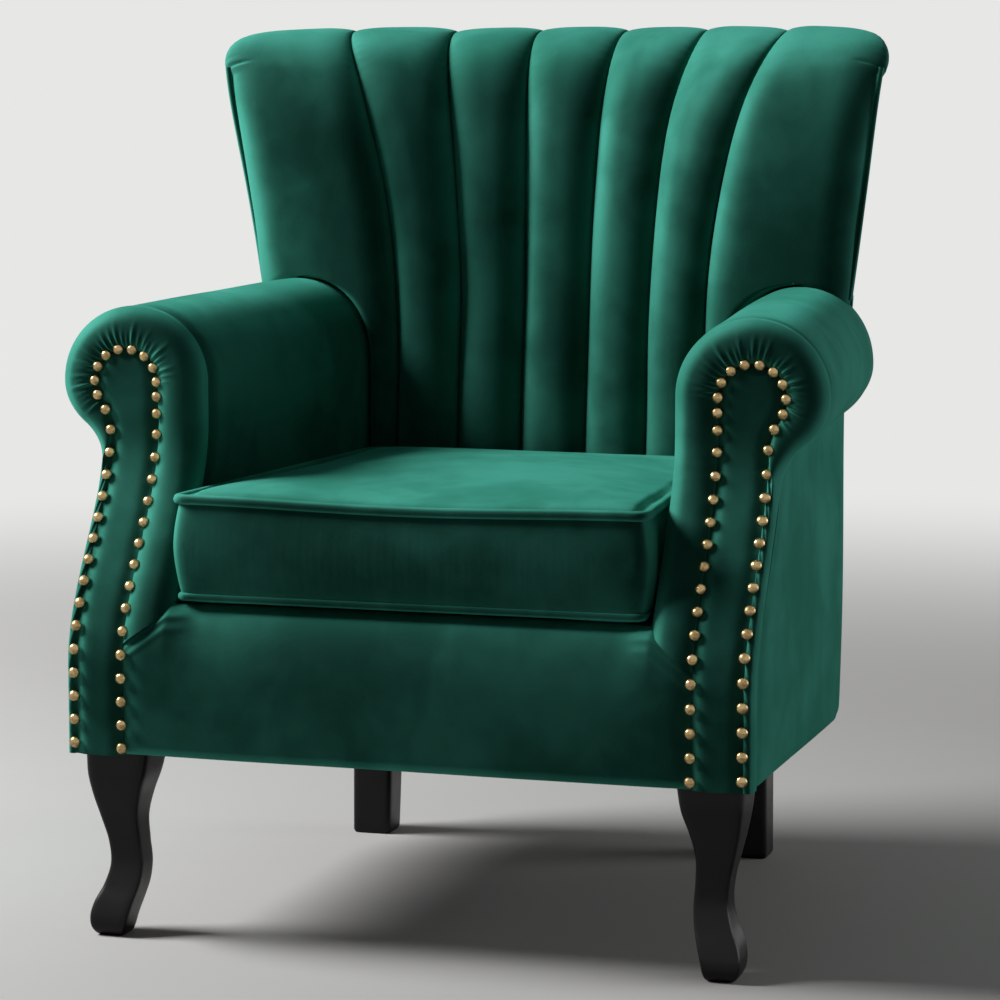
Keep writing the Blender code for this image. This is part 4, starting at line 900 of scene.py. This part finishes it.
head = oneNail()
for word, side in bothSides:
    rng = np.random.default_rng(71 + (side > 0))
    copies = []
    for place in nailPlaces():
        slope = float((frontY(place[2] + 0.001) - frontY(place[2] - 0.001)) / 0.002)
        leanX, leanZ = (rng.uniform(-nailSpec["lean"], nailSpec["lean"]) for _ in range(2))
        out = Vector((leanX, -1.0, slope + leanZ)).normalized()
        nail = head.copy()
        nail.data = head.data.copy()
        bpy.context.collection.objects.link(nail)
        turn = out.to_track_quat("Z", "Y").to_matrix().to_4x4()
        spot = Vector((place[0] * side, place[1], place[2])) + out * nailSpec["proud"]
        nail.matrix_world = Matrix.Translation(spot) @ turn
        copies.append(nail)
    bpy.ops.object.select_all(action="DESELECT")
    for nail in copies:
        nail.select_set(True)
    bpy.context.view_layer.objects.active = copies[0]
    bpy.ops.object.join()
    nails = bpy.context.object
    nails.name = nails.data.name = f"{word}NailHeads"
    bpy.ops.object.transform_apply(location=True, rotation=True, scale=True)
    dress(nails, brass, "chair_frame", f"{word}_nailhead_trim", slot="antique_brass")
bpy.data.objects.remove(head, do_unlink=True)
print("arm fronts ready")

# seat front, rolled over the rail and darted into the arm fronts

borderSpec = {"halfWidth": 0.2834, "front": -0.3355, "rollDepth": 0.037, "rollHeight": 0.0725, "top": 0.3325,
              "bulge": 0.0035, "hem": 0.012, "inFrom": 0.205, "cornerDepth": 0.42, "cornerHeight": 0.34,
              "turns": (0.04, 0.08, 0.52, 0.86),  # under the rail, hem, face, roll over the top
              "tuck": 0.026, "hemRound": 0.004}


def borderShape(u, v):
    spec = borderSpec
    x = (2.0 * u - 1.0) * spec["halfWidth"]
    out = np.abs(x)
    corner = ease((out - spec["inFrom"]) / (spec["halfWidth"] - spec["inFrom"]))
    top = np.minimum(spec["top"], dartZ(np.maximum(out, 0.236)))
    depth = spec["rollDepth"] * lerp(1.0, spec["cornerDepth"], corner)
    height = spec["rollHeight"] * lerp(1.0, spec["cornerHeight"], corner)
    low, front = chair["legTop"], np.full_like(x, spec["front"])
    hem, tuck, hemRound, start = spec["hem"], spec["tuck"], spec["hemRound"], top - height
    underEnd, hemEnd, faceEnd, rollEnd = spec["turns"]
    stages = [v < end for end in spec["turns"]]
    inHem, over = (v - underEnd) / (hemEnd - underEnd), 0.5 * math.pi * (v - faceEnd) / (rollEnd - faceEnd)
    z = np.select(stages, [np.full_like(x, low), low + hem * inHem,
                           lerp(low + hem, start, (v - hemEnd) / (faceEnd - hemEnd)), start + height * np.sin(over)],
                  lerp(top, low, (v - rollEnd) / (1.0 - rollEnd)))
    y = front + np.select(stages, [lerp(tuck, hemRound, v / underEnd), hemRound * (1.0 - inHem) ** 2,
                                   0.0 * v, depth * (1.0 - np.cos(over))],
                          lerp(depth, tuck, clamp((v - rollEnd) / 0.05)))
    face = (v > 0.5 * (underEnd + hemEnd)) & (v < rollEnd)
    share = clamp((z - low) / (top - low))
    toNail = spec["halfWidth"] - out
    swell = spec["bulge"] * arch(share) ** 0.6 * (1.0 - bell(toNail / 0.012))
    under = top - z  # folds that run along the dart
    folds = 0.0016 * bell((under - 0.010) / 0.0035) + 0.0011 * bell((under - 0.021) / 0.004)
    swell = swell + folds * ease((out - 0.215) / 0.02) * ease(toNail / 0.008)
    y = np.where(face, y - swell + nailPull(z, toNail, 0.0008, 0.006), y)
    return stack(x, y, z)


border = closeUp(sheetOf("seatFront", 260, 110, borderShape))
roughUp(border, 0.0006, 24.0, 51)
dress(border, velvet, "chair_frame", "front_border")

deckSpec = {"thick": 0.026, "sag": 0.004, "front": -0.2975, "rear": 0.1915, "edgeRound": 0.006}


def deckShape(u, v):
    y = lerp(deckSpec["front"], deckSpec["rear"], v)
    deep = deckSpec["rear"] - deckSpec["front"]
    half = np.minimum(armInnerX(y), armInnerX(chair["armFrontY"])) - 0.0006
    x = (2.0 * u - 1.0) * half
    edge = np.minimum(np.minimum(u, 1.0 - u) * 2.0 * half, np.minimum(v, 1.0 - v) * deep)
    sag = deckSpec["sag"] * (arch(u) * arch(v)) ** 0.7
    fall = deckSpec["edgeRound"] * bell(edge / deckSpec["edgeRound"])
    return stack(x, y, chair["deckTop"] - 0.0004 - sag - fall)


deck = thicken(sheetOf("seatDeckCover", 80, 80, deckShape), deckSpec["thick"])
dress(deck, velvet, "chair_frame", "seat_deck")
print("seat front ready")

# loose cushion: blown up by cloth simulation between its two welts

cushionSpec = {"front": -0.319, "rear": 0.150, "wide": 0.234, "narrow": 0.197, "frontRound": 0.020, "rearRound": 0.026,
               "low": 0.3340, "lowWelt": 0.3412, "topWelt": 0.4364, "crown": 0.4520, "belly": 0.007, "ear": 0.005,
               "voxel": 0.006, "pressure": 4.0, "frames": 20, "cap": 0.024, "valley": 0.0042, "valleyIn": 0.0105,
               "sag": 0.004, "held": 0.0045, "heldBeyond": (0.19, 0.215),
               "welts": (("lowerWelt", "lower_cushion_welt", "lowWelt", 0.0040, 0.0034),
                         ("upperWelt", "upper_cushion_welt", "topWelt", 0.0049, 0.0008))}


def cushionOutline(count, inset=0.0):
    spec = cushionSpec
    corners = ((spec["wide"], spec["front"], spec["frontRound"], -90.0),
               (spec["narrow"], spec["rear"], spec["rearRound"], 0.0),
               (-spec["narrow"], spec["rear"], spec["rearRound"], 90.0),
               (-spec["wide"], spec["front"], spec["frontRound"], 180.0))
    middle = 0.5 * (spec["front"] + spec["rear"])
    line = []
    for x, y, radius, start in corners:
        cx, cy = x - math.copysign(radius, x), y - math.copysign(radius, y - middle)
        ear = spec["ear"] if y < middle else 0.0  # the front corners are drawn out to a point
        for step in np.linspace(0.0, 90.0, 13):
            turn, size = math.radians(start + step), radius - inset + ear * math.sin(2.0 * math.radians(step)) ** 3
            line.append((cx + size * math.cos(turn), cy + size * math.sin(turn)))
    line = np.array(line + line[:1])
    length = runLength(line)
    return sample(np.linspace(0.0, length[-1], count, endpoint=False), length, line)


def cushionShape(u, v):
    spec = cushionSpec
    center = np.array([0.0, 0.5 * (spec["front"] + spec["rear"])])
    low, lowWelt, topWelt = spec["low"], spec["lowWelt"], spec["topWelt"]
    rings = np.array((  # share of the plan, inset, height
        (0.03, 0.0, low), (0.6, 0.0, low), (0.93, 0.0, low), (1.0, 0.020, low + 0.0005), (1.0, 0.009, low + 0.003),
        (1.0, 0.003, lowWelt), (1.0, 0.003, lowWelt + 0.008), (1.0, 0.001, 0.391), (1.0, 0.003, topWelt - 0.008),
        (1.0, 0.003, topWelt), (1.0, 0.008, topWelt + 0.003), (0.90, 0.0, topWelt + 0.007), (0.70, 0.0, 0.449),
        (0.40, 0.0, 0.4515), (0.03, 0.0, spec["crown"])))
    scale, inset, z = sample(v, np.linspace(0.0, 1.0, len(rings)), rings).T
    line = cushionOutline(720)
    line = np.r_[line, line[:1]]
    share = np.linspace(0.0, 1.0, len(line))
    plan = sample(u, share, line) - center
    size = np.linalg.norm(plan, axis=1)
    plan = plan * (scale * (1.0 - inset / size))[:, None] + center
    return stack(plan[:, 0], plan[:, 1], z)


def sagFront(places):  # the top edge has given way a little in the middle of the front
    share = clamp((places[:, 2] - cushionSpec["low"]) / 0.10)
    middle = np.cos(np.clip(places[:, 0] / cushionSpec["wide"], -1.0, 1.0) * 0.5 * math.pi) ** 2
    near = bell((places[:, 1] - cushionSpec["front"]) / 0.12)
    moved = places.copy()
    moved[:, 2] -= cushionSpec["sag"] * share * middle * near
    return moved


def fillFront(places):  # the front boxing is stuffed out past its welts, and the top dips behind its welt
    spec = cushionSpec
    line = cushionOutline(720)
    away = np.sqrt(((places[:, None, :2] - line[None, ::2]) ** 2).sum(axis=2).min(axis=1))
    low, high = spec["lowWelt"], spec["topWelt"]
    share = clamp((places[:, 2] - low) / (high - low))
    front = ease((-0.245 - places[:, 1]) / 0.05) * bell(away / 0.012)
    outward = np.c_[places[:, 0] * 0.9, np.full(len(places), -0.16)]
    outward /= np.linalg.norm(outward, axis=1)[:, None]
    moved = places.copy()
    moved[:, :2] += outward * (spec["belly"] * arch(share) ** 0.7 * front)[:, None]
    top = ease((places[:, 2] - high - 0.001) / 0.003)
    moved[:, 2] -= spec["valley"] * bell((away - spec["valleyIn"]) / 0.0042) * top
    return moved


def makeCushion():
    spec = cushionSpec
    obj = closeUp(sheetOf("seatCushionPad", 180, 56, cushionShape))
    remesh = obj.modifiers.new("even", "REMESH")
    remesh.mode, remesh.voxel_size = "VOXEL", spec["voxel"]
    bpy.ops.object.modifier_apply(modifier="even")
    before = points(obj)
    seam = obj.vertex_groups.new(name="welts")
    level = np.minimum(abs(before[:, 2] - spec["lowWelt"]), abs(before[:, 2] - spec["topWelt"]))
    edge = np.max(np.abs(before[:, :2] - np.array([0.0, -0.085])) / np.array(spec["heldBeyond"]), axis=1) > 1.0
    held = np.nonzero((level < spec["held"]) & edge)[0]
    seam.add(held.tolist(), 1.0, "REPLACE")
    cloth = obj.modifiers.new("blow", "CLOTH")
    cloth.settings.use_pressure = True
    cloth.settings.uniform_pressure_force = spec["pressure"]
    cloth.settings.effector_weights.gravity = 0.0
    cloth.settings.vertex_group_mass = "welts"
    cloth.settings.quality = 6
    cloth.point_cache.frame_start, cloth.point_cache.frame_end = 1, spec["frames"]
    for step in range(1, spec["frames"] + 1):
        bpy.context.scene.frame_set(step)
    move = points(obj.evaluated_get(bpy.context.evaluated_depsgraph_get())) - before
    obj.modifiers.remove(cloth)
    bpy.context.scene.frame_set(1)
    far = np.linalg.norm(move, axis=1)
    before = before + move * (np.minimum(far, spec["cap"]) / np.maximum(far, 1e-9))[:, None]
    before[:, 2] = np.clip(before[:, 2], spec["low"], None)
    setPoints(obj, before)
    pick(obj)
    smooth = obj.modifiers.new("fine", "SUBSURF")
    smooth.levels = smooth.render_levels = 1
    bpy.ops.object.modifier_apply(modifier="fine")
    bpy.ops.object.shade_smooth()
    roughUp(obj, 0.0009, 22.0, 81)
    places = points(obj)
    places[:, 2] = np.clip(places[:, 2], spec["low"], None)
    setPoints(obj, sagFront(fillFront(places)))
    return obj


cushion = makeCushion()
dress(cushion, velvet, "loose_cushion", "seat_cushion")
for name, node, level, radius, inset in cushionSpec["welts"]:
    plan = cushionOutline(360, inset)
    line = sagFront(np.c_[plan, np.full(len(plan), cushionSpec[level])])
    welt = cordAlong(name, line, radius, True)
    dress(welt, velvet, "loose_cushion", node)
print("cushion ready")

# legs

legSpec = {
    "frontX": 0.298, "frontY": -0.292, "rearX": 0.211, "rearY": 0.220, "rearTop": 0.024, "rearFoot": 0.0215,
    "splay": 0.004, "corner": 9.0, "footRound": 0.0016, "frontEase": 0.0018, "rearEase": 0.0015,
    "profile": ((0.00, 0.0100, 0.0120, 0.0140), (0.04, 0.0112, 0.0130, 0.0175), (0.10, 0.0110, 0.0115, 0.0197),
                (0.17, 0.0080, 0.0075, 0.0203), (0.27, 0.0014, 0.0010, 0.0186), (0.37, -0.0020, -0.0025, 0.0170),
                (0.50, -0.0004, -0.0020, 0.0168), (0.63, 0.0029, 0.0005, 0.0193), (0.76, 0.0032, 0.0022, 0.0247),
                (0.87, 0.0015, 0.0025, 0.0296), (1.00, 0.0000, 0.0000, 0.0325)),
}


def smoothRow(rows, share, column):  # smooth curve through one column of a profile
    xs, ys = rows[:, 0], rows[:, column]
    slopes = np.gradient(ys, xs)
    k = np.clip(np.searchsorted(xs, share, side="right") - 1, 0, len(xs) - 2)
    width = xs[k + 1] - xs[k]
    return hermite(ys[k], ys[k + 1], slopes[k], slopes[k + 1], width, (share - xs[k]) / width)


def squareSection(u, half):
    turn = 2.0 * math.pi * u + 0.25 * math.pi
    power = legSpec["corner"]
    size = half / (np.abs(np.cos(turn)) ** power + np.abs(np.sin(turn)) ** power) ** (1.0 / power)
    return size * np.cos(turn), size * np.sin(turn)


def frontLegShape(side):
    rows = np.array(legSpec["profile"])

    def shape(u, v):
        out, forward, half = (smoothRow(rows, v, k) for k in (1, 2, 3))
        half = half - legSpec["frontEase"] * bell(v * chair["legTop"] / legSpec["footRound"])
        dx, dy = squareSection(u, half)
        return stack(side * (legSpec["frontX"] + out) + dx, legSpec["frontY"] - forward + dy, v * chair["legTop"])

    return shape


def rearLegShape(side):
    def shape(u, v):
        half = lerp(legSpec["rearFoot"], legSpec["rearTop"], v)
        half = half - legSpec["rearEase"] * bell(v * chair["legTop"] / legSpec["footRound"])
        dx, dy = squareSection(u, half)
        return stack(side * (legSpec["rearX"] + legSpec["splay"] * (1.0 - v)) + dx, legSpec["rearY"] + dy,
                     v * chair["legTop"])

    return shape


for word, side in bothSides:
    for end, rows, legShape in (("Front", 110, frontLegShape), ("Rear", 60, rearLegShape)):
        leg = closeUp(sheetOf(f"{word}{end}Leg", 96, rows, legShape(side)), 40.0)
        dress(leg, lacquer, "chair_frame", f"{word}_{end.lower()}_leg", slot="black_lacquer")

dustSpec = {"front": -0.2955, "rear": 0.2475, "inset": 0.018, "sag": 0.006, "thick": 0.0008,
            "frontCut": (0.2535, -0.2475), "rearCut": (0.175, 0.183)}  # half width between the legs, and where


def dustHalf(y):  # half width of the cloth, cut out round the legs
    side = sideX(y, np.full_like(y, chair["legTop"])) - dustSpec["inset"]
    (frontHalf, frontEnd), (rearHalf, rearStart) = dustSpec["frontCut"], dustSpec["rearCut"]
    return lerp(lerp(frontHalf, side, ease((y - frontEnd) / 0.002)), rearHalf, ease((y - rearStart) / 0.002))


def dustShape(u, v):
    y = lerp(dustSpec["front"], dustSpec["rear"], v)
    half = dustHalf(y)
    sag = dustSpec["sag"] * np.maximum(arch(u) * arch(v), 0.0)
    return stack((2.0 * u - 1.0) * half, y, chair["legTop"] - 0.0004 - sag)


dust = thicken(sheetOf("dustSheet", 60, 272, dustShape), dustSpec["thick"])
dress(dust, dustCloth, "chair_frame", "dust_cover", slot="dust_cloth")
rowsY = np.linspace(dustSpec["front"], dustSpec["rear"], 2000)
halves = dustHalf(rowsY)
length = dustSpec["rear"] - dustSpec["front"]
float(2.0 * halves.mean() * length)

# hidden frame, springs and bolts keep their solids
bySlot = {"beech_frame": beech, "zinc_steel": steel, "black_lacquer": lacquer, "antique_brass": brass,
          "green_velvet": velvet, "dust_cloth": dustCloth}
for part in frame["record"]["subparts"]:
    node = frame["nodes"][part["node"]]
    node.data.materials.clear()
    node.data.materials.append(bySlot[part["material_slot"]])
print("legs and frame ready")

# plain stage, soft light and the camera

stageSpec = {
    "floor": (0.50, 0.495, 0.485), "bounce": (0.28, 0.28, 0.27), "back": (0.80, 0.80, 0.79), "world": 0.025,
    "lights": (
        ("windowSoft", (-2.50, -0.50, 2.25), (0.0, 0.0, 0.55), 1.4, 150.0),
        ("rightFill", (2.6, 0.9, 0.9), (0.0, 0.0, 0.50), 1.4, 16.0),
    ),
    "camera": (1.0458, -3.4351, 0.8466), "tilt": 0.121941, "turn": 0.296372, "lens": 126.1,
}


def seenRays(tree):  # 1 for rays that look at the stage, 0 for those that light the chair
    rays = tree.nodes.new("ShaderNodeLightPath").outputs
    camera, glossy, clear = (Shade(tree, rays[f"Is {kind} Ray"]) for kind in ("Camera", "Glossy", "Transmission"))
    return camera.math("MAXIMUM", camera.math("MAXIMUM", camera, glossy), clear)


bpy.ops.object.select_all(action="DESELECT")
bpy.ops.mesh.primitive_grid_add(x_subdivisions=8, y_subdivisions=8, size=24.0)
floor = bpy.context.object
floor.name = "studioFloor"


def floorNodes(place):
    worn = tuple(0.985 * c for c in stageSpec["floor"])
    paint = place.noise(3.0, 3.0).between(0.3, 0.7).mixColor(stageSpec["floor"], worn)
    return {
        "Base Color": seenRays(place.tree).mixColor(stageSpec["bounce"], paint),  # throws less light back up
        "Roughness": 0.75 + 0.1 * place.noise(40.0),
    }


floorPaint = finish("studio_floor_paint", {"Specular IOR Level": 0.2}, floorNodes)
tree = floorPaint.node_tree  # far from the chair the floor turns into the pale background
shader = tree.nodes["Principled BSDF"]
place = Shade(tree, tree.nodes.new("ShaderNodeTexCoord").outputs["Object"])
away = place.make("ShaderNodeVectorMath", {0: place}, output="Value", operation="LENGTH").between(1.0, 3.6)
away = away * seenRays(tree)
pale = away.make("ShaderNodeEmission", {"Color": (*stageSpec["back"], 1.0), "Strength": 1.0})
blend = away.make("ShaderNodeMixShader", {0: away, 1: Shade(tree, shader.outputs[0]), 2: pale})
tree.links.new(blend.socket, tree.nodes["Material Output"].inputs["Surface"])
floor.data.materials.append(floorPaint)
for name, place, aim, size, power in stageSpec["lights"]:
    turn = (Vector(aim) - Vector(place)).to_track_quat("-Z", "Y").to_euler()
    bpy.ops.object.light_add(type="AREA", location=place, rotation=turn)
    bpy.context.object.name, lamp = name, bpy.context.object.data
    lamp.shape, lamp.size, lamp.energy = "DISK", size, power
world = bpy.data.worlds.new("studio")
bpy.context.scene.world = world
world.use_nodes = True
tree = world.node_tree
soft = tree.nodes["Background"]
soft.inputs["Color"].default_value, soft.inputs["Strength"].default_value = (1.0, 1.0, 1.0, 1.0), stageSpec["world"]
seen = tree.nodes.new("ShaderNodeBackground")
seen.inputs["Color"].default_value = (*stageSpec["back"], 1.0)
mix = tree.nodes.new("ShaderNodeMixShader")
tree.links.new(seenRays(tree).socket, mix.inputs[0])
tree.links.new(soft.outputs[0], mix.inputs[1])
tree.links.new(seen.outputs[0], mix.inputs[2])
tree.links.new(mix.outputs[0], tree.nodes["World Output"].inputs["Surface"])
bpy.ops.object.camera_add(location=stageSpec["camera"],
                          rotation=(0.5 * math.pi - stageSpec["tilt"], 0.0, stageSpec["turn"]))
camera = bpy.context.scene.camera = bpy.context.object
camera.name = "photoView"
camera.data.lens, camera.data.sensor_width = stageSpec["lens"], 36.0
bpy.context.scene.view_settings.view_transform = "Standard"
print("stage ready")
